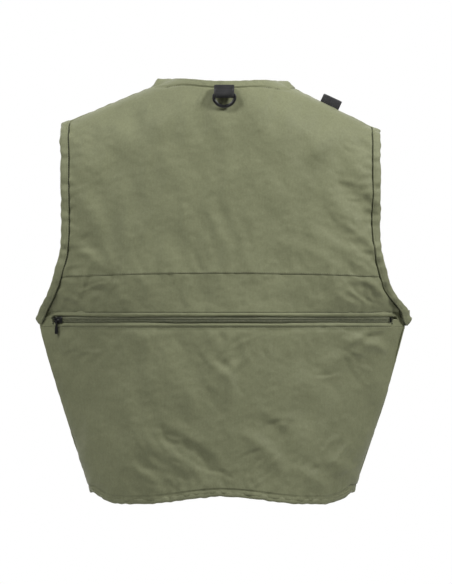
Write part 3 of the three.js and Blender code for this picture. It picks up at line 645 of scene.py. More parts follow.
# ---------- Materials ----------
def srgb(*rgb):
    """A colour given as screen values from 0 to 255, in linear light."""
    shares = (v / 255 for v in rgb)
    return tuple(c / 12.92 if c <= 0.04045 else ((c + 0.055) / 1.055) ** 2.4 for c in shares) + (1.0,)


class Nodes:
    """A material's node tree, with short ways to add nodes."""

    def __init__(self, name):
        self.material = bpy.data.materials.new(name)
        self.material.use_nodes = True
        self.tree = self.material.node_tree
        self.shader = self.tree.nodes["Principled BSDF"]
        self.coordinates = self.tree.nodes.new("ShaderNodeTexCoord").outputs["Object"]

    def put(self, socket, value):
        """Gives a socket a value, or links another node's output to it."""
        if isinstance(value, bpy.types.NodeSocket):
            self.tree.links.new(value, socket)
        else:
            socket.default_value = value

    def add(self, kind, output, inputs, **settings):
        """An output of a new node, whose inputs are given by name or number."""
        node = self.tree.nodes.new("ShaderNode" + kind)
        for name, value in settings.items():
            setattr(node, name, value)
        for name, value in inputs.items():
            self.put(node.inputs[name], value)
        return node.outputs[output]

    def noise(self, scale, detail=3.0, roughness=0.5, stretch=None):
        place = self.coordinates
        if stretch:
            place = self.add("Mapping", "Vector", {"Scale": stretch, "Vector": place})
        inputs = {"Scale": scale, "Detail": detail, "Roughness": roughness, "Vector": place}
        return self.add("TexNoise", "Fac", inputs)

    def wave(self, direction, pitch_mm, distortion):
        inputs = {"Scale": 100 * math.pi / pitch_mm, "Distortion": distortion, "Detail": 1.0}
        inputs["Vector"] = self.coordinates
        return self.add("TexWave", "Fac", inputs, bands_direction=direction)

    def math(self, operation, a, b):
        return self.add("Math", 0, {0: a, 1: b}, operation=operation)

    def ramp(self, fac, low, high, dark, light):
        node = self.tree.nodes.new("ShaderNodeValToRGB")
        for end, position, color in zip(node.color_ramp.elements, (low, high), (dark, light)):
            end.position, end.color = position, color
        self.put(node.inputs["Fac"], fac)
        return node.outputs["Color"]

    def mix(self, fac, a, b, blend="MIX"):
        """A mix of two colours, which are the node's inputs 6 and 7 and its output 2."""
        return self.add("Mix", 2, {0: fac, 6: a, 7: b}, data_type="RGBA", blend_type=blend)

    def bump(self, height, distance_mm, strength=1.0, below=None):
        inputs = {"Strength": strength, "Distance": distance_mm / 1000, "Height": height}
        if below is not None:
            inputs["Normal"] = below
        return self.add("Bump", "Normal", inputs)

    def finish(self, color, normal, roughness, rough_fac=None, rough_spread=0.1, **values):
        """The material, with its shader's inputs given by name."""
        if rough_fac is not None:
            spread = self.math("MULTIPLY", rough_fac, rough_spread)
            roughness = self.math("ADD", spread, roughness - rough_spread / 2)
        if normal is not None:
            values["Normal"] = normal
        for name, value in {"Base_Color": color, "Roughness": roughness, **values}.items():
            self.put(self.shader.inputs[name.replace("_", " ")], value)
        return self.material


WEAVE_PITCH, WEAVE_DEPTH = 0.62, 0.1


def nylon(name, dark, light, crinkle=0.9, sheen=0.12, rough=0.66):
    """Plain-weave nylon: crossing threads, mottled dye and a fine crinkle."""
    m = Nodes(name)
    warp, weft = m.wave("X", WEAVE_PITCH, 0.6), m.wave("Z", WEAVE_PITCH, 0.6)
    threads = m.math("MULTIPLY", warp, weft)
    mottle = m.noise(14, 5, 0.62)
    slub = m.noise(420, 2, 0.6, stretch=(1.0, 1.0, 0.16))
    grain = m.noise(330, 3, 0.75)
    color = m.ramp(mottle, 0.3, 0.7, dark, light)
    color = m.mix(0.3, color, m.ramp(slub, 0.3, 0.7, dark, light))
    color = m.mix(0.34, color, m.ramp(grain, 0.36, 0.64, dark, light))
    shade = m.ramp(threads, 0.0, 0.6, (0.72, 0.72, 0.72, 1), (1.08, 1.08, 1.08, 1))
    color = m.mix(0.35, color, shade, "MULTIPLY")
    creased = m.bump(m.noise(48, 4.5, 0.6), crinkle, 1.0)
    normal = m.bump(threads, WEAVE_DEPTH, 0.7, creased)
    return m.finish(color, normal, rough, mottle, 0.12, Specular_IOR_Level=0.34, Sheen_Weight=sheen,
                    Sheen_Roughness=0.45)


shell_cloth = nylon("olive_nylon", srgb(110, 113, 84), srgb(131, 134, 102))
binding_cloth = nylon("olive_binding", srgb(112, 115, 87), srgb(132, 135, 104), crinkle=1.3)
lining_cloth = nylon("olive_lining", srgb(98, 101, 79), srgb(110, 113, 88), sheen=0.1, rough=0.78)


def thread_material():
    m = Nodes("olive_thread_and_painted_seam_shade")
    twist = m.noise(2600, 2, 0.5)
    # The thread's dark olive is partly its own colour and partly painted shade: it stands in for the shadow
    # along the seams' grooves.
    color = m.ramp(twist, 0.3, 0.7, srgb(44, 46, 34), srgb(66, 69, 52))
    return m.finish(color, m.bump(twist, 0.08), 0.62)


def tape_material():
    m = Nodes("zip_tape_weave")
    ribs = m.math("MULTIPLY", m.wave("X", 0.8, 0.3), m.wave("Z", 0.8, 0.3))
    color = m.ramp(ribs, 0.1, 0.7, srgb(118, 121, 96), srgb(148, 151, 121))
    return m.finish(color, m.bump(ribs, 0.15), 0.7, Sheen_Weight=0.15)


def coil_material():
    m = Nodes("zip_coil_nylon")
    shade = m.noise(300, 2, 0.5)
    color = m.ramp(shade, 0.3, 0.7, srgb(104, 107, 84), srgb(134, 137, 109))
    return m.finish(color, m.bump(m.noise(1400, 2, 0.5), 0.05), 0.38, Specular_IOR_Level=0.5)


def webbing_material():
    m = Nodes("black_webbing_weave")
    ribs = m.math("MULTIPLY", m.wave("X", 1.5, 0.25), m.wave("Z", 1.1, 0.25))
    fuzz = m.noise(1500, 3, 0.7)
    color = m.ramp(ribs, 0.05, 0.7, srgb(12, 12, 13), srgb(30, 30, 31))
    color = m.mix(0.3, color, m.ramp(fuzz, 0.35, 0.7, srgb(14, 14, 15), srgb(36, 36, 37)))
    normal = m.bump(ribs, 0.35, 0.9, m.bump(fuzz, 0.12))
    return m.finish(color, normal, 0.7, Sheen_Weight=0.06, Sheen_Roughness=0.5)


def plastic_material():
    m = Nodes("black_moulded_plastic")
    grain = m.noise(1100, 3, 0.6)
    worn = m.noise(60, 4, 0.6)
    color = m.ramp(worn, 0.35, 0.75, srgb(14, 14, 15), srgb(28, 28, 30))
    return m.finish(color, m.bump(grain, 0.06, 0.6), 0.34, worn, 0.16, Specular_IOR_Level=0.5)


def enamel_material():
    m = Nodes("black_enamelled_metal")
    worn = m.noise(240, 4, 0.65)
    color = m.ramp(worn, 0.58, 0.82, srgb(5, 5, 6), srgb(40, 40, 42))
    return m.finish(color, m.bump(m.noise(700, 3, 0.6), 0.05, 0.6), 0.24, worn, 0.2, Specular_IOR_Level=0.5,
                    Coat_Weight=0.4, Coat_Roughness=0.1)


def patch_material(name, pitch_mm, dark, light):
    m = Nodes(name)
    loops = m.noise(1000 / pitch_mm, 2, 0.8)
    tufts = m.noise(260, 3, 0.6)
    color = m.mix(0.4, m.ramp(loops, 0.3, 0.7, dark, light), m.ramp(tufts, 0.3, 0.7, dark, light))
    return m.finish(color, m.bump(loops, 0.7, 1.0), 0.9, Sheen_Weight=0.4)


thread = thread_material()
zip_tape = tape_material()
zip_coil = coil_material()
black_webbing = webbing_material()
black_plastic = plastic_material()
black_enamel = enamel_material()
loop_patch = patch_material("loop_patch", 1.1, srgb(62, 65, 50), srgb(92, 96, 75))
hook_patch = patch_material("hook_patch", 0.8, srgb(46, 48, 37), srgb(76, 79, 62))


# ---------- Back ----------
def fitted(columns, shares, low, high, half):
    """Grid of x and z: columns spread over a half-width that depends on height, rows from low to high."""
    u, v = np.meshgrid(columns, shares)
    x = u * half(np.full_like(u, 300.0))
    for _ in range(6):
        z = lerp(low(x), high(x), v)
        x = u * half(z)
    return x, z


def crowded(start, stop, count, tall, *bands):
    """Shares of a height, four times as close together inside bands given in millimetres."""
    at = np.linspace(0, tall, 2000)
    close = np.full_like(at, 1.0)
    for low, high in bands:
        close = np.where((at >= low) & (at <= high), 4.0, close)
    run = np.concatenate([[0], np.cumsum((close[1:] + close[:-1]) / 2)])
    return lerp(start, stop, np.interp(np.linspace(0, run[-1], count), run, at) / tall)


SPREAD = np.pi * 0.48  # columns lie closer together towards the sides, as a sine up to this angle
half_across = np.sin(crowded(0, 1, 140, 1.0, (0.81, 0.93)) * SPREAD) / math.sin(SPREAD)
across = np.concatenate([-half_across[:0:-1], half_across])


def sheet_edge(z, front):
    under_binding = arm_edge(z, front) - SHEET_INSIDE * np.hypot(1, arm_slope(z, front))
    return lerp(side_half(z), under_binding, smoothstep(z, PIT_Z - 8, PIT_Z + 4))


def folded_under(x, z, point, edge_sign):
    """Rows that continue a cloth's edge round a soft fold and back behind itself."""
    roll, depth = 1.3, 13
    edge, n = point(x, z)
    rows = []
    for turn in (0.5, 1.0):
        a = turn * math.pi
        rows.append(edge - n * roll * (1 - math.cos(a)) + np.array([0, 0, edge_sign]) * roll * math.sin(a))
    behind, n = point(x, z - edge_sign * depth)
    rows.append(behind - n * (2 * roll + 0.2))
    return rows


def back_top(x):
    edge = shoulder_z(x) - 0.3
    neck = back_neck_z(x) - NECK_BIND * COVERED
    return np.minimum(lerp(neck, edge, smoothstep(np.abs(x), NECK_X - 4, NECK_X + 10)), edge)


def back_upper():
    """Yoke and the band below it: one cloth from the zip to the neck, lapped at the yoke seam."""
    low = ZIP_Z + ZIP_OPEN / 2
    band = crowded(0, 1, 56, YOKE_Z - low, (0, 9), (55, 60))
    yoke = crowded(0, 1, 120, 275, (0, 5), (268, 275))[1:]

    def half(z):
        return sheet_edge(z, False)
    under = fitted(across, band, lambda x: ZIP_Z + opening(x) + zip_wave(x), yoke_seam_z, half)
    over = fitted(across, yoke, yoke_seam_z, back_top, half)
    x, z = np.concatenate([under[0], over[0]]), np.concatenate([under[1], over[1]])
    x = stretched(x, z, half(z))
    grid, _ = back_point(x, z)
    edge = folded_under(x[0], z[0], back_point, -1)
    grid = np.concatenate([np.array(edge[::-1]), grid])
    return cloth("back_upper_cloth", grid, 1, CLOTH_THICK, shell_cloth)


def back_lower():
    """Back pocket's outer cloth, from the hem to the zip."""
    high = ZIP_Z - ZIP_OPEN / 2
    shares = crowded(0, 1, 130, high, (8, 13), (high - 12, high))
    x, z = fitted(across, shares, lambda x: hem_z(x) + HEM_BIND * COVERED,
                  lambda x: ZIP_Z - opening(x) + zip_wave(x + 30 * (opening(x) - 0.25)), side_half)
    grid, _ = back_point(x, z)
    edge = folded_under(x[-1], z[-1], back_point, 1)
    grid = np.concatenate([grid, np.array(edge)])
    return cloth("back_pocket_cloth", grid, 1, CLOTH_THICK, shell_cloth)


def back_lining():
    """Inner sheet of the back pocket."""
    def half(z):
        return np.minimum(side_half(z), arm_edge(z, False)) - ARM_BIND - 12
    x, z = fitted(np.sin(np.linspace(-1, 1, 70) * SPREAD), np.linspace(0, 1, 50),
                  lambda x: hem_z(x) + 16, lambda x: 0 * x + YOKE_Z - 3, half)
    grid, _ = surface(x, z, back_y, lambda x, z: 0.5 * broad(x, z) + 0.4 * middling(z, x), -1, -5.8)
    return cloth("back_pocket_lining_cloth", grid, 1, LINING_THICK, lining_cloth)


settle(back_upper(), "shell", "shell_fabric", "back_yoke_panel", "back_mid_panel")
settle(back_lower(), "shell", "shell_fabric", "back_pocket_panel")
settle(back_lining(), "shell", "lining", "back_pocket_lining")


# ---------- Fronts ----------
def front_inner(z):
    """Inner edge of a front: the zip edge, the neck edge, and the neck band over the shoulder."""
    return np.where(z < VEE_Z, EDGE_X, neck_x(z) + NECK_BIND * COVERED)


def front_cloth(sign, name):
    u, v = np.meshgrid(np.linspace(0, 1, 86), 1 - (1 - np.linspace(0, 1, 150)) ** 1.15)
    u = np.sin(u * np.pi / 2) * 0.5 + u * 0.5
    x = np.full_like(u, 120.0)
    for _ in range(14):
        z = lerp(hem_z(x) + HEM_BIND * COVERED, shoulder_z(sign * x) - 0.3, v)
        x = lerp(front_inner(z), sheet_edge(z, True), u)
    grid, _ = front_point(stretched(sign * x, z, sheet_edge(z, True)), z)
    return cloth(name, grid, -sign, CLOTH_THICK, shell_cloth)


def blended(piece, side, sign):
    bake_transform(piece)


SIDES = (("left", -1), ("right", 1))
for side, sign in SIDES:
    piece = front_cloth(sign, f"front_{side}_cloth")
    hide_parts(f"front_{side}_panel", f"front_{side}_side_panel")
    blended(piece, side, sign)


# ---------- Bindings ----------
def offset_normals(outer, inner, outward):
    return unit(np.cross(np.gradient(outer, axis=0), inner - outer) * outward)


def arm_path(sign):
    """Edge and inner path of an armhole: up the back, over the shoulder, down the front."""
    def half(front):
        base = front_point if front else back_point
        tip = 550.0
        for _ in range(8):
            tip = float(shoulder_z(sign * arm_edge(tip, front)))
        z = lerp(PIT_Z + 1.5, tip - 1.5, np.sin(np.linspace(0, 1, 110) * np.pi / 2))
        slope = arm_slope(z, front)
        step = ARM_BIND / np.hypot(1, slope)
        x = arm_edge(z, front)
        outer, _ = base(sign * x, z)
        inner, _ = base(sign * (x - step), z + slope * step)
        outer[:, 0] += sign * arm_out(sign, z)
        inner[:, 0] += sign * arm_out(sign, z + slope * step)
        return outer, inner
    back, front = half(False), half(True)

    def at_shoulder(x):
        return np.array([[sign * x, 0, float(shoulder_z(sign * x))]])
    tip, tip_in = at_shoulder(ARM_HALF), at_shoulder(ARM_HALF - ARM_BIND)
    out = float(side_half(ZIP_Z)) + float(arm_out(sign, PIT_Z + BULGE_UP))
    low, low_in = np.array([[sign * out, 0, PIT_Z - 1]]), np.array([[sign * (out - 7), 0, PIT_Z - 14]])
    outer = np.concatenate([low, back[0], tip, front[0][::-1], low])
    inner = np.concatenate([low_in, back[1], tip_in, front[1][::-1], low_in])
    outer, inner = side_by_side(outer, inner, 2.4)
    return smoothed(outer[:-1], 9, closed=True), smoothed(inner[:-1], 9, closed=True)


def bound(name, row_name, node, edge, outward, width, fold=None, closed=False, **look):
    """A binding between the two paths of an edge, with its stitches, in place of a CAD node."""
    outer, inner = edge
    normals = offset_normals(outer, inner, outward)
    piece = binding(name, outer, inner, normals, width, closed, **look)
    for obj in (piece, in_ditch(row_name, outer, inner, normals, closed)):
        if fold:
            blended(obj, *fold)
        else:
            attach(obj, "shell")
    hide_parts(node)


def neck_path():
    """Neck edge from the right front strap round the back to the left one."""
    def strap(sign):
        z = np.linspace(STRAP_Z, NECK_Z - 7, 14)
        x = neck_x(z)
        outer, _ = front_point(sign * x, z)
        inner, _ = front_point(sign * (x + NECK_BIND), z)
        return outer, inner
    right, left = strap(1), strap(-1)
    x = -np.sin(np.linspace(-0.5, 0.5, 70) * np.pi * 0.98) * (NECK_X - 2)
    z = back_neck_z(x)
    outer, _ = back_point(x, z)
    inner, _ = back_point(x * 1.04, z - NECK_BIND - NECK_WIDER * smoothstep(np.abs(x), 55, 92))
    shoulder = [np.array([[s * NECK_X, -2, NECK_Z], [s * (NECK_X + 8), -2, NECK_Z - 5]]) for s in (1, -1)]
    edge = np.concatenate([right[0], shoulder[0][:1], outer, shoulder[1][:1], left[0][::-1]])
    inside = np.concatenate([right[1], shoulder[0][1:], inner, shoulder[1][1:], left[1][::-1]])
    edge, inside = side_by_side(edge, inside, 3.0)
    return smoothed(edge, 2), smoothed(inside, 2)


def hem_part(x, front):
    point = front_point if front else back_point
    z = hem_z(x)
    outer, _ = point(x, z)
    half_low, half_high = side_half(z), side_half(z + HEM_BIND)
    inner, _ = point(x * half_high / half_low, z + HEM_BIND)
    return outer, inner


def hem_x(start, stop, count):
    """Places along the hem between two shares of its half-width, close together towards the side."""
    share = np.sin(np.linspace(start, stop, count) * np.pi / 2)
    x = share * HEM_HALF
    for _ in range(6):
        x = share * side_half(hem_z(x))
    return x


def front_hem_path(sign):
    x = np.concatenate([sign * np.linspace(EDGE_X - 1, FOLD_HEM_X, 80), sign * hem_x(0.69, HEM_SHARE, 90)])
    return side_by_side(*hem_part(x, True), 2.6)


def front_neck_path(sign):
    x, z = neck_curve(np.linspace(1, 0.19, 90))
    gap = unit(np.stack([np.gradient(z), -np.gradient(x)], -1)) * NECK_BIND
    outer, _ = front_point(sign * x, z)
    inner, _ = front_point(sign * (x + gap[:, 0]), z + gap[:, 1])
    return outer, inner


HEM_SHARE = 0.9995  # the hems' bindings end just short of the sides
for side, sign in SIDES:
    bound(f"armhole_binding_{side}_cloth", f"armhole_stitching_{side}", f"armhole_binding_{side}",
          arm_path(sign), sign, ARM_BIND, closed=True)
bound("neck_band_cloth", "neck_stitching", "back_neck_band", neck_path(), 1, NECK_BIND, thick=4.0, pucker=0.2)
back_hem = side_by_side(*hem_part(-hem_x(-HEM_SHARE, HEM_SHARE, 320), False), 1.8)
bound("back_hem_cloth", "back_hem_stitching", "hem_binding", back_hem, -1, HEM_BIND, thick=4.2, pucker=0.35)
for side, sign in SIDES:
    front = f"front_{side}"
    bound(f"{front}_hem_cloth", f"{front}_hem_stitching", f"{front}_hem_binding",
          front_hem_path(sign), -sign, HEM_BIND, (side, sign), thick=4.0)
    bound(f"{front}_neck_cloth", f"{front}_neck_stitching", f"{front}_neck_binding",
          front_neck_path(sign), sign, NECK_BIND, (side, sign), thick=3.6)


# ---------- Seam stitching on the back ----------
def back_row(name, x, z, lift=0.1, thick=THREAD):
    path, normals = back_point(x, z, lift)
    settle(stitches(name, path, normals, thick=thick), "shell", "shell_fabric")


zip_row_x = np.linspace(-1, 1, 240) * ZIP_HALF
for name, offset in (("zip_stitching_upper", ZIP_STITCH), ("zip_stitching_lower", -ZIP_STITCH)):
    back_row(name, zip_row_x, ZIP_Z + offset + 0.3 * zip_wave(zip_row_x))
seam_x = np.linspace(-1, 1, 240) * 243
back_row("yoke_stitching", seam_x, yoke_seam_z(seam_x) + 1.7, 0.05, 0.26)


def felled_seam(path, across_seam, thick):
    """Rings of a flat seam along a path, with half its width across it and half its thickness."""
    turn = np.linspace(0, 2 * np.pi, 14, endpoint=False)[:, None]
    return path[:, None, :] + np.cos(turn) * across_seam + np.sin(turn) * thick


def shoulder_seam(sign):
    """The seam along a shoulder, between the neck band and the armhole binding."""
    x = sign * np.linspace(NECK_X + 3, ARM_HALF - 4, 90)
    path = np.stack([x, 0 * x - 1.2, shoulder_z(x) - 1.3 + 0.25 * along_seams(x, 0 * x)], -1)
    return felled_seam(path, np.array([0, 5.4, 0]), np.array([0, 0, 1.5]))


def side_seam(sign):
    """The seam down a side, from the armhole binding to the hem."""
    z = np.linspace(hem_z(HEM_HALF) + 3, PIT_Z - 10, 120)
    path = np.stack([sign * (side_half(z) - 1.6), 0 * z, z], -1)
    return felled_seam(path, np.array([0, 1.6, 0]), np.array([1.3, 0, 0]))


def bar_tack(side, sign):
    """Three rows of stitches standing across an end of the back zip."""
    rows = []
    for k in range(3):
        x = np.full(2, sign * (ZIP_HALF + 0.9 + 0.4 * k))
        ends, normals = back_point(x, ZIP_Z + np.array([-6.6, 6.6]), 1.1)
        path = lerp(ends[:1], ends[1:], np.linspace(0, 1, 5)[:, None])
        rows.append(stitches(f"tack_{side}_{k}", path, np.repeat(normals[:1], 5, 0)))
    return joined(f"zip_bar_tack_{side}", rows)


for side, sign in SIDES:
    for kind, rings in (("shoulder", shoulder_seam(sign)), ("side", side_seam(sign))):
        settle(sweep(f"{kind}_seam_{side}", rings, shell_cloth), "shell", "shell_fabric")
for side, sign in SIDES:
    settle(bar_tack(side, sign), "shell", "binding")


# ---------- Zips ----------
COIL_PITCH, COIL_WIRE = 1.7, 0.62
back_radius = float(arc_radius(side_half(ZIP_Z), BACK_DEPTH_ZIP))
back_centre_y = back_radius - BACK_DEPTH_ZIP


def on_arc(angle, out, up):
    """Point of the back zip at an angle along its arc, out of the vest and up."""
    r = back_radius + np.asarray(out, float)
    return np.stack(np.broadcast_arrays(r * np.sin(angle), back_centre_y - r * np.cos(angle), ZIP_Z + up), -1)


def in_front(x, out, up):
    """Point in the flat of the fronts: across, out of the vest, and up the cloth."""
    x, out, up = np.broadcast_arrays(np.asarray(x, float), out, up)
    y = FRONT_DEPTH_HEM + out * math.cos(TILT) - up * math.sin(TILT)
    return np.stack([x, y, out * math.sin(TILT) + up * math.cos(TILT)], -1)


def coil_ribs(name, place, run, start, stop):
    """One half of a zip's coil: a row of rounded ribs, from its tape to the middle, along a run."""
    points, faces = [], []
    for s in run:
        first = len(points)
        for share in np.linspace(0, 1, 6):
            across_zip = lerp(start, stop, share)
            arch = math.sin(math.pi * (0.12 + 0.76 * share))
            fat = COIL_WIRE * (0.75 if share in (0, 1) else 1.0)
            for q in range(6):
                a = q * math.pi / 3
                height = -1.0 + 1.25 * arch + fat * math.sin(a)
                points.append(place(s + fat * math.cos(a) * 0.66, across_zip, height))
        faces += skin(6, 6, first)
    return make(name, np.array(points), faces, zip_coil)


def back_zip_half(side, sign):
    reach = math.asin(ZIP_HALF / back_radius)
    angle, up = np.meshgrid(np.linspace(-reach, reach, 160), np.linspace(1.2, ZIP_OPEN / 2 + 7, 8) * sign)
    grid = on_arc(angle, -1.7 - 1.5 * smoothstep(np.abs(up), 3.2, 5.8), up)
    tape = cloth(f"back_zip_{side}_cloth", grid, sign, TAPE_THICK, zip_tape)
    run = np.arange(-ZIP_HALF + 1, ZIP_HALF - 1, COIL_PITCH) + (COIL_PITCH / 2 if sign > 0 else 0)
    coil = coil_ribs(f"back_zip_{side}_coil", lambda s, a, o: on_arc(s / back_radius, o, a * sign),
                     run * back_radius * reach / ZIP_HALF, 3.5, -0.45)
    settle(tape, "shell", "zip_tape", f"back_zip_{side}_tape")
    settle(coil, "shell", "zip_tape")


def front_zip_tape(name, sign, edge, heights, columns):
    """A part of a front zip's tape, between an edge and the cloth that it is sewn under."""
    x, up = np.meshgrid(np.linspace(edge, EDGE_X + 6, columns), heights)
    return cloth(name, in_front(sign * x, -1.9, up), -sign, TAPE_THICK, zip_tape)


def front_zip_half(side, sign):
    zip_name, body, low = f"front_zip_{side}", f"front_{side}", FRONT_ZIP_LOW
    heights = np.linspace(low + 9, FRONT_ZIP_TOP, 120)
    tape = front_zip_tape(f"{zip_name}_cloth", sign, ZIP_EDGE + 1.2, heights, 8)
    settle(tape, body, "zip_tape", f"{zip_name}_tape")
    run = np.arange(low + 10, FRONT_ZIP_TOP - 1, COIL_PITCH)
    coil = coil_ribs(f"{zip_name}_coil", lambda s, a, o: in_front(sign * a, o, s), run,
                     ZIP_EDGE + 3, ZIP_EDGE)
    settle(coil, body, "zip_tape")


def front_zip_end(side, sign):
    """The tape's lower end, which goes on down beside the box or the pin."""
    heights = np.linspace(FRONT_ZIP_LOW - 7, FRONT_ZIP_LOW + 9.5, 10)
    end = front_zip_tape(f"front_zip_{side}_end_cloth", sign, TAPE_END[side], heights, 6)
    settle(end, f"front_{side}", "zip_tape")


FRONT_ZIP_LOW, FRONT_ZIP_TOP = 23, VEE_Z / math.cos(TILT) - 6
TAPE_END = {"left": 9.8, "right": 8.8}  # where the ends' inner edges are
back_zip_half("upper", 1)
back_zip_half("lower", -1)
for side, sign in SIDES:
    front_zip_half(side, sign)
for side, sign in SIDES:
    front_zip_end(side, sign)


# ---------- Sliders, pulls and other hardware ----------
def local_frame(origin, across_axis, out_axis, up_axis):
    """Maps local points (along x, out along y, up along z) to drawn points."""
    basis = np.array([across_axis, out_axis, up_axis], float)
    return lambda points: np.asarray(origin, float) + np.asarray(points, float) @ basis


def bevelled(name, objects, place, material, width=0.25, segments=2):
    """One rounded piece from closed local solids."""
    bm = bmesh.new()
    for o in objects:
        bm.from_mesh(o)
        bpy.data.meshes.remove(o)
    bmesh.ops.bevel(bm, geom=[e for e in bm.edges if e.calc_face_angle(0) > 0.5], offset=width,
                    segments=segments, profile=0.6, affect="EDGES", clamp_overlap=True)
    for vertex, point in zip(bm.verts, to_row(place([tuple(v.co) for v in bm.verts]))):
        vertex.co = point
    bmesh.ops.recalc_face_normals(bm, faces=bm.faces)
    return placed(name, written(name, bm), material)


def prism(outline, y0, y1):
    """A closed solid in local millimetres: an outline in x and z between two depths."""
    mesh = bpy.data.meshes.new("prism")
    n = len(outline)
    points = [(x, y, z) for y in (y0, y1) for x, z in outline]
    faces = [tuple(range(n)), tuple(range(2 * n - 1, n - 1, -1))]
    faces += [(k, n + k, n + (k + 1) % n, (k + 1) % n) for k in range(n)]
    mesh.from_pydata(points, [], faces)
    return mesh


def tube(path, radius, sides=10, closed=False, flat=1.0, out=(0, 1, 0)):
    """A closed solid in local millimetres: a round or flattened rod along a path."""
    path = np.asarray(path, float)
    if closed:
        tangent = np.roll(path, -1, 0) - np.roll(path, 1, 0)
    else:
        tangent = np.gradient(path, axis=0)
    tangent = unit(tangent)
    out = np.asarray(out, float)
    points = []
    for p, t, radius in zip(path, tangent, np.broadcast_to(radius, len(path))):
        aside = unit(np.cross(t, out))
        lift = np.cross(aside, t)
        for q in range(sides):
            a = 2 * math.pi * q / sides
            points.append(tuple(p + radius * (aside * math.cos(a) + lift * math.sin(a) * flat)))
    mesh = bpy.data.meshes.new("tube")
    mesh.from_pydata(points, [], skin(sides, len(path), closed=closed))
    return mesh


WING_TOP, WING_LOW, BAIL_HALF = 2.3, -4.8, 3.4


def slider_body():
    """Two wings, the post between them, side guides and an arched bail, travelling along x."""
    half_wing = [(-5.5, -2.6), (-4.4, -3.6), (-2, -4.4), (4.6, -4.4), (5.5, -3.4)]
    wing = half_wing + [(x, -z) for x, z in half_wing[::-1]]
    solids = [prism(wing, 0.8, WING_TOP), prism(wing, WING_LOW, -3.3),
              prism([(-2.5, -0.4), (2.5, -0.4), (2.5, 0.4), (-2.5, 0.4)], -3.4, 0.9)]
    for s in (1, -1):
        guide = [(-1.5, s * 4.4), (4.6, s * 4.4), (4.6, s * 3.75), (-1.5, s * 3.75)]
        solids.append(prism(guide[::s], 0.1, 1.0))
    arch = [(BAIL_HALF * math.cos(a), WING_TOP - 0.4 + 3.3 * math.sin(a) ** 0.6, 0)
            for a in np.linspace(0.02, math.pi - 0.02, 15)]
    return solids + [tube(arch, 0.72, out=(0, 0, 1))]


PULL_LONG, PULL_THICK, EYE_RIM, EYE_HOLE = 21, 1.2, 3, 1.5


def pull_tab():
    """A pull with an eye, a narrow neck and a wider grip, its eye at the origin."""
    turn = np.linspace(1.25 * math.pi, -0.25 * math.pi, 14)
    ring = [(EYE_RIM * math.cos(a), EYE_RIM * math.sin(a)) for a in turn]
    half_grip = [(1.5, -6), (1.7, -9), (2.5, -13), (2.8, 2 - PULL_LONG), (1.9, -PULL_LONG)]
    outline = ring + half_grip + [(-x, z) for x, z in half_grip[::-1]]
    bm = bmesh.new()
    turn = np.linspace(0, 2 * math.pi, 14, endpoint=False)
    hole = [(EYE_HOLE * math.cos(a), EYE_HOLE * math.sin(a)) for a in turn]
    for y in (0.0, PULL_THICK):
        loops = [[bm.verts.new((x, y, z)) for x, z in loop] for loop in (outline, hole)]
        edges = [bm.edges.new(ends) for loop in loops for ends in zip(loop, loop[1:] + loop[:1])]
        bmesh.ops.triangle_fill(bm, use_beauty=True, edges=edges)
    bm.verts.ensure_lookup_table()
    n, m = len(outline), len(hole)
    for first, size in ((0, n), (n, m)):
        for k in range(size):
            a, b = first + k, first + (k + 1) % size
            bm.faces.new([bm.verts[i] for i in (a, b, b + n + m, a + n + m)])
    bmesh.ops.recalc_face_normals(bm, faces=bm.faces)
    return written("pull", bm)


def slider_and_pull(which, origin, slider_axes, pull_axes):
    """A zip's slider, and the pull that hangs from its bail."""
    place = local_frame(origin, *slider_axes)
    body = bevelled(f"{which}_slider_body", slider_body(), place, black_enamel)
    settle(body, f"{which}_slider", "black_metal", f"{which}_zip_slider")
    eye = local_frame(place([(-BAIL_HALF, WING_TOP + 0.5, 0)])[0], *pull_axes)
    pull = bevelled(f"{which}_pull_tab", [pull_tab()], eye, black_enamel)
    settle(pull, f"{which}_pull", "black_metal", f"{which}_zip_pull")


a = -math.asin(SLIDER_X / back_radius)
back_axes = (math.cos(a), math.sin(a), 0), (math.sin(a), -math.cos(a), 0), (0, 0, 1)
slider_and_pull("back", on_arc(a, 0, 0), back_axes, back_axes)
FRONT_OUT, FRONT_UP = (0, math.cos(TILT), math.sin(TILT)), (0, -math.sin(TILT), math.cos(TILT))
# The front slider stands just above the zip's box.
slider_at = in_front(SLIT / 2 - ZIP_EDGE, 0, (FRONT_ZIP_LOW + 8) / math.cos(TILT) + 5.8)
slider_and_pull("front", slider_at, (FRONT_UP, FRONT_OUT, (1, 0, 0)), ((1, 0, 0), FRONT_OUT, FRONT_UP))


# ---------- Webbing and D-rings ----------
WEB_WIDE, WEB_THICK, RING_HALF, RING_DROP = 28, 1.6, 15.9, 17.3


def webbing_loop(name, place, out, centre):
    """A doubled band of ribbed webbing, from its sewn end along a centre line and round a ring's bar."""
    round_bar = 2.0 + WEB_THICK / 2
    spine, run = resample(centre, 0.8)
    spine = smoothed(spine, 12)
    along = unit(np.gradient(spine, axis=0))
    spread = lerp(WEB_THICK / 2 + 0.1, round_bar, smoothstep(run, run[-1] - 8, run[-1]))[:, None]
    aside = np.stack([-along[:, 1], along[:, 0]], -1) * spread
    turn = np.linspace(0, math.pi, 14)[1:-1]
    bend = spine[-1] + round_bar * np.stack([np.cos(turn), -np.sin(turn)], -1)
    path, _ = resample(np.concatenate([spine + aside, bend, (spine - aside)[::-1]]), 0.75)
    across_web = np.linspace(-WEB_WIDE / 2, WEB_WIDE / 2, 58)
    tangent = unit(np.gradient(path, axis=0))
    normal = np.stack([-tangent[:, 1], tangent[:, 0]], -1)
    ribs = 0.16 * np.sin(across_web * 2 * np.pi / 1.5)
    edge = 0.25 * (np.abs(across_web) > WEB_WIDE / 2 - 1.2)
    grid = np.zeros((len(path), len(across_web), 3))
    for k, (p, n) in enumerate(zip(path, normal)):
        h = WEB_THICK / 2 + ribs - edge
        grid[k] = place(np.stack([across_web, out * (p[0] + n[0] * h), p[1] + n[1] * h], -1))
    return cloth(name, grid, -out, WEB_THICK, black_webbing)


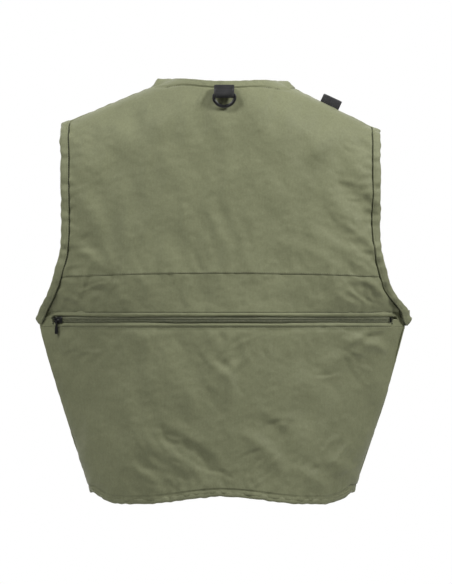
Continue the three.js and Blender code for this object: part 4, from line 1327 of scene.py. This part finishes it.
def d_ring():
    """A moulded D-ring hanging from its bar."""
    bow = [(RING_HALF * math.cos(t), 0, -RING_DROP * math.sin(t) ** 0.85)
           for t in np.linspace(0, math.pi, 40)]
    bar = [(x, 0, 0) for x in np.linspace(-RING_HALF, RING_HALF, 12)[1:-1]]
    path = smoothed(np.array(bow + bar), 1, closed=True)
    radius = lerp(1.75, 2.45, smoothstep(-path[:, 2], 2, 7))
    return tube(path, radius, sides=14, closed=True, flat=0.7)


# Each D-ring's bar: across, distance from the middle plane, height, outward sign and lean; then its webbing's
# centre line (out of the vest, up) from the sewn end. The shoulder's rises from the seam and folds forward.
RINGS = {
    "neck": (2.5, -67, 596.5, -1, 0.0, [(-9.3, 12.6), (-8.2, 10.2), (-4.6, 6.5), (-1.0, 3.4), (0, 0)]),
    "shoulder": (144.3, 23.1, 555.7, 1, math.atan(SHOULDER_SLOPE),
                 [(-22.5, 26), (-22, 33), (-18, 39), (-11, 40), (-6, 36), (-4.2, 28), (-3.2, 14),
                  (-0.6, 5), (0, 0)]),
}
for name, (x0, bar_y, bar_z, out, lean, centre) in RINGS.items():
    across_ring, up_ring = (math.cos(lean), 0, -math.sin(lean)), (math.sin(lean), 0, math.cos(lean))
    place = local_frame((x0, bar_y, bar_z), across_ring, (0, 1, 0), up_ring)
    loop = webbing_loop(f"{name}_webbing_band", place, out, centre)
    settle(loop, "shell", "webbing", f"{name}_webbing")
    ring = bevelled(f"{name}_ring_moulding", [d_ring()], place, black_plastic, width=0.05, segments=1)
    settle(ring, f"{name}_ring", "black_plastic", f"{name}_d_ring")


# ---------- Pockets and flaps ----------
def squircle(a, b, power=7.0):
    """Pulls the corners of a square grid in, so that it fills a square with round corners."""
    size = np.maximum(np.abs(a), np.abs(b))
    norm = (np.abs(a) ** power + np.abs(b) ** power) ** (1 / power)
    k = np.where(norm > 1e-6, size / np.maximum(norm, 1e-6), 1)
    return a * k, b * k


EDGE_ROLL = [(1.0, 0.02), (1.0, 0.35), (1.0, 0.68), (0.992, 0.88), (0.975, 0.97), (0.955, 1.0)]


def pocket(name, p, sign):
    """A puffed pocket: gussets at its sides and bottom, a crowned front, open at the top."""
    inner = np.linspace(0.93, -0.93, 46)
    u = [(m, h) for m, h in EDGE_ROLL] + [(m, 1.0) for m in inner] + [(-m, h) for m, h in EDGE_ROLL[::-1]]
    b = [(m, h) for m, h in EDGE_ROLL] + [(m, 1.0) for m in np.linspace(0.93, 0.0, 44)]
    (share_across, height_across), (share_down, height_down) = np.array(u).T, np.array(b).T
    share_across, share_down = np.meshgrid(share_across, share_down)
    height = np.minimum(*np.meshgrid(height_across, height_down))
    a, down = squircle(share_across, share_down)
    middle, half, tall = (p["x0"] + p["x1"]) / 2, (p["x1"] - p["x0"]) / 2, p["z1"] - p["z0"]
    x, up = middle + a * half, p["z1"] - down * tall
    front = p["deep"] - 2.2
    crown = 1.6 * (1 - a ** 2) * np.clip(np.sin(np.pi * np.clip(down * 0.9 + 0.1, 0, 1)), 0, 1)
    soft = 0.35 * middling(x * 1.3 + 90 * sign, up * 1.2) + 0.25 * broad(x * 2, up * 2 + 77 * sign)
    inset = (1 - np.maximum(np.abs(share_across), share_down)) * half
    stitch = -0.5 * np.exp(-(inset - 5) ** 2 / 1.2) * (height > 0.99)
    hem = 0.5 * smoothstep(up, p["z1"] - 13, p["z1"] - 12) - 0.6 * np.exp(-((up - p["z1"] + 13) / 0.9) ** 2)
    grid = in_front(sign * x, height * (front + (height > 0.95) * (crown + soft + stitch + hem)), up)
    return cloth(name, grid, sign, POCKET_THICK, shell_cloth)


def flap(name, p, sign):
    """A flap from its seam, over the pocket's top and down its front, with round lower corners."""
    face = p["deep"] + 2.6
    seam, top, low = p["seam"], p["z1"], p["low"]
    section = [(0.9, seam), (1.2, seam - 4), (face * 0.55, top + 8.4), (face * 0.93, top + 3),
               (face + 0.6, top - 3), (face + 1.0, lerp(top, low, 0.5)), (face + 0.7, low)]
    section, run = resample(section, 1.2)
    section = smoothed(section, 4)
    share = run / run[-1]
    share_across, share_down = np.meshgrid(np.linspace(-1, 1, 56), share)
    a, down = squircle(share_across, share_down, 9.0)
    middle, half = (p["x0"] + p["x1"]) / 2, (p["x1"] - p["x0"]) / 2 + 2
    out = np.interp(down, share, section[:, 0])
    up = np.interp(down, share, section[:, 1])
    inset = (1 - np.maximum(np.abs(share_across), share_down)) * half
    soft = 0.35 * middling(a * half * 1.4 + 33 * sign, up * 1.3) * smoothstep(down, 0.1, 0.4)
    stitch = -0.4 * np.exp(-((inset - 4.5) / 0.9) ** 2)
    grid = in_front(sign * (middle + a * half), out + soft + stitch, up)
    return cloth(name, grid, sign, FLAP_THICK, shell_cloth)


def outline_stitches(name, p, sign, body, inset, flap_row):
    """Stitches inside the edge of a pocket or flap."""
    middle, half = (p["x0"] + p["x1"]) / 2, (p["x1"] - p["x0"]) / 2 + (2 if flap_row else 0)
    top, low = (p["z1"] - 2, p["low"]) if flap_row else (p["low"] + 8, p["z0"])
    tall = p["z1"] - low
    start = (p["z1"] - top) / tall
    t, corners = np.linspace(0, 1, 160), [0, 0.36, 0.64, 1]
    square_x, square_z = np.interp(t, corners, [-1, -1, 1, 1]), np.interp(t, corners, [start, 1, 1, start])
    a, down = squircle(np.clip(square_x, -1, 1), np.clip(square_z, -1, 1))
    x, up = middle + a * (half - inset), p["z1"] - down * (tall - inset)
    out = p["deep"] + (3.3 if flap_row else -1.6)
    path = in_front(sign * x, out, up)
    row = stitches(name, path, np.tile(FRONT_OUT, (len(path), 1)), sink=0.25)
    settle(row, body, "shell_fabric")


for side, sign in SIDES:
    for kind, p in POCKETS.items():
        pouch, lid = f"{kind}_pocket_{side}", f"{kind}_flap_{side}"
        settle(pocket(f"{pouch}_cloth", p, sign), f"front_{side}", "shell_fabric", pouch)
        settle(flap(f"{lid}_cloth", p, sign), lid, "shell_fabric", lid)
        outline_stitches(f"{lid}_stitching", p, sign, lid, 4.5, True)
        outline_stitches(f"{pouch}_stitching", p, sign, f"front_{side}", 5.0, False)


# ---------- CAD pieces that stay, with their own materials ----------
def dress_node(node, material):
    """Gives a CAD node's object a detailed material."""
    obj = next(o for o in bpy.data.objects if o.name == node or o.name.startswith(node + "."))
    if obj.material_slots:
        obj.material_slots[0].material = material
    else:
        obj.data.materials.append(material)


for node in frame["nodes"]:
    if "loop_patch" in node:
        dress_node(node, loop_patch)
    elif "hook_patch" in node:
        dress_node(node, hook_patch)
    elif "stop" in node:
        dress_node(node, black_enamel)
    elif node in ("front_zip_box", "front_zip_pin"):
        dress_node(node, black_plastic)


# ---------- Camera, light and floor ----------
VIEW_TALL = 849
VIEW_MIDDLE_X, VIEW_MIDDLE_Z = 5.0, 309.5
CAMERA_FAR = 8000


def stage_material():
    m = Nodes("pale_floor")
    color = m.ramp(m.noise(1.5, 2, 0.4), 0.2, 0.8, (0.88, 0.88, 0.88, 1), (0.92, 0.92, 0.92, 1))
    return m.finish(color, None, 0.9)


def area_light(name, at, size, watts):
    """A round soft light aimed at the middle of the vest."""
    light = bpy.data.lights.new(name, "AREA")
    light.shape, light.size, light.energy = "DISK", size, watts
    obj = bpy.data.objects.new(name, light)
    obj.location = at
    obj.rotation_euler = (Vector((0, 0, -0.3)) - Vector(at)).to_track_quat("-Z", "Y").to_euler()
    obj.visible_camera = False
    bpy.context.collection.objects.link(obj)


def build_stage():
    bpy.ops.mesh.primitive_circle_add(vertices=96, radius=2.4, fill_type="NGON", location=(0, 0, -1.35))
    floor = bpy.context.object
    floor.name = "floor"
    floor.data.materials.append(stage_material())
    camera = bpy.data.cameras.new("camera")
    camera.sensor_fit, camera.sensor_height = "VERTICAL", 36
    camera.lens = 36 * CAMERA_FAR / VIEW_TALL
    obj = bpy.data.objects.new("camera", camera)
    middle = to_row([VIEW_MIDDLE_X, -60, VIEW_MIDDLE_Z])
    obj.location = (middle[0], middle[1] - CAMERA_FAR / 1000, middle[2])
    obj.rotation_euler = (math.pi / 2, 0, 0)
    bpy.context.collection.objects.link(obj)
    bpy.context.scene.camera = obj
    area_light("key", (1.2, -0.7, 0.85), 0.4, 27)
    area_light("top", (-0.75, -0.7, 0.95), 0.4, 11)
    area_light("left_fill", (-1.5, -1.0, 0.6), 0.9, 8)
    area_light("front_key", (-1.3, 1.3, 0.9), 0.7, 18)
    area_light("front_top", (0.6, 1.9, 1.3), 1.6, 20)
    world = bpy.data.worlds.new("studio")
    bpy.context.scene.world = world
    world.use_nodes = True
    tree = world.node_tree
    seen, path = tree.nodes["Background"], tree.nodes.new("ShaderNodeLightPath")
    lighting, choose = tree.nodes.new("ShaderNodeBackground"), tree.nodes.new("ShaderNodeMixShader")
    for background, strength in ((seen, 1.0), (lighting, 0.18)):
        background.inputs["Color"].default_value = (1, 1, 1, 1)
        background.inputs["Strength"].default_value = strength
    tree.links.new(path.outputs["Is Camera Ray"], choose.inputs["Fac"])
    tree.links.new(lighting.outputs[0], choose.inputs[1])
    tree.links.new(seen.outputs[0], choose.inputs[2])
    tree.links.new(choose.outputs[0], tree.nodes["World Output"].inputs["Surface"])
    bpy.context.scene.view_settings.view_transform = "Standard"


build_stage()
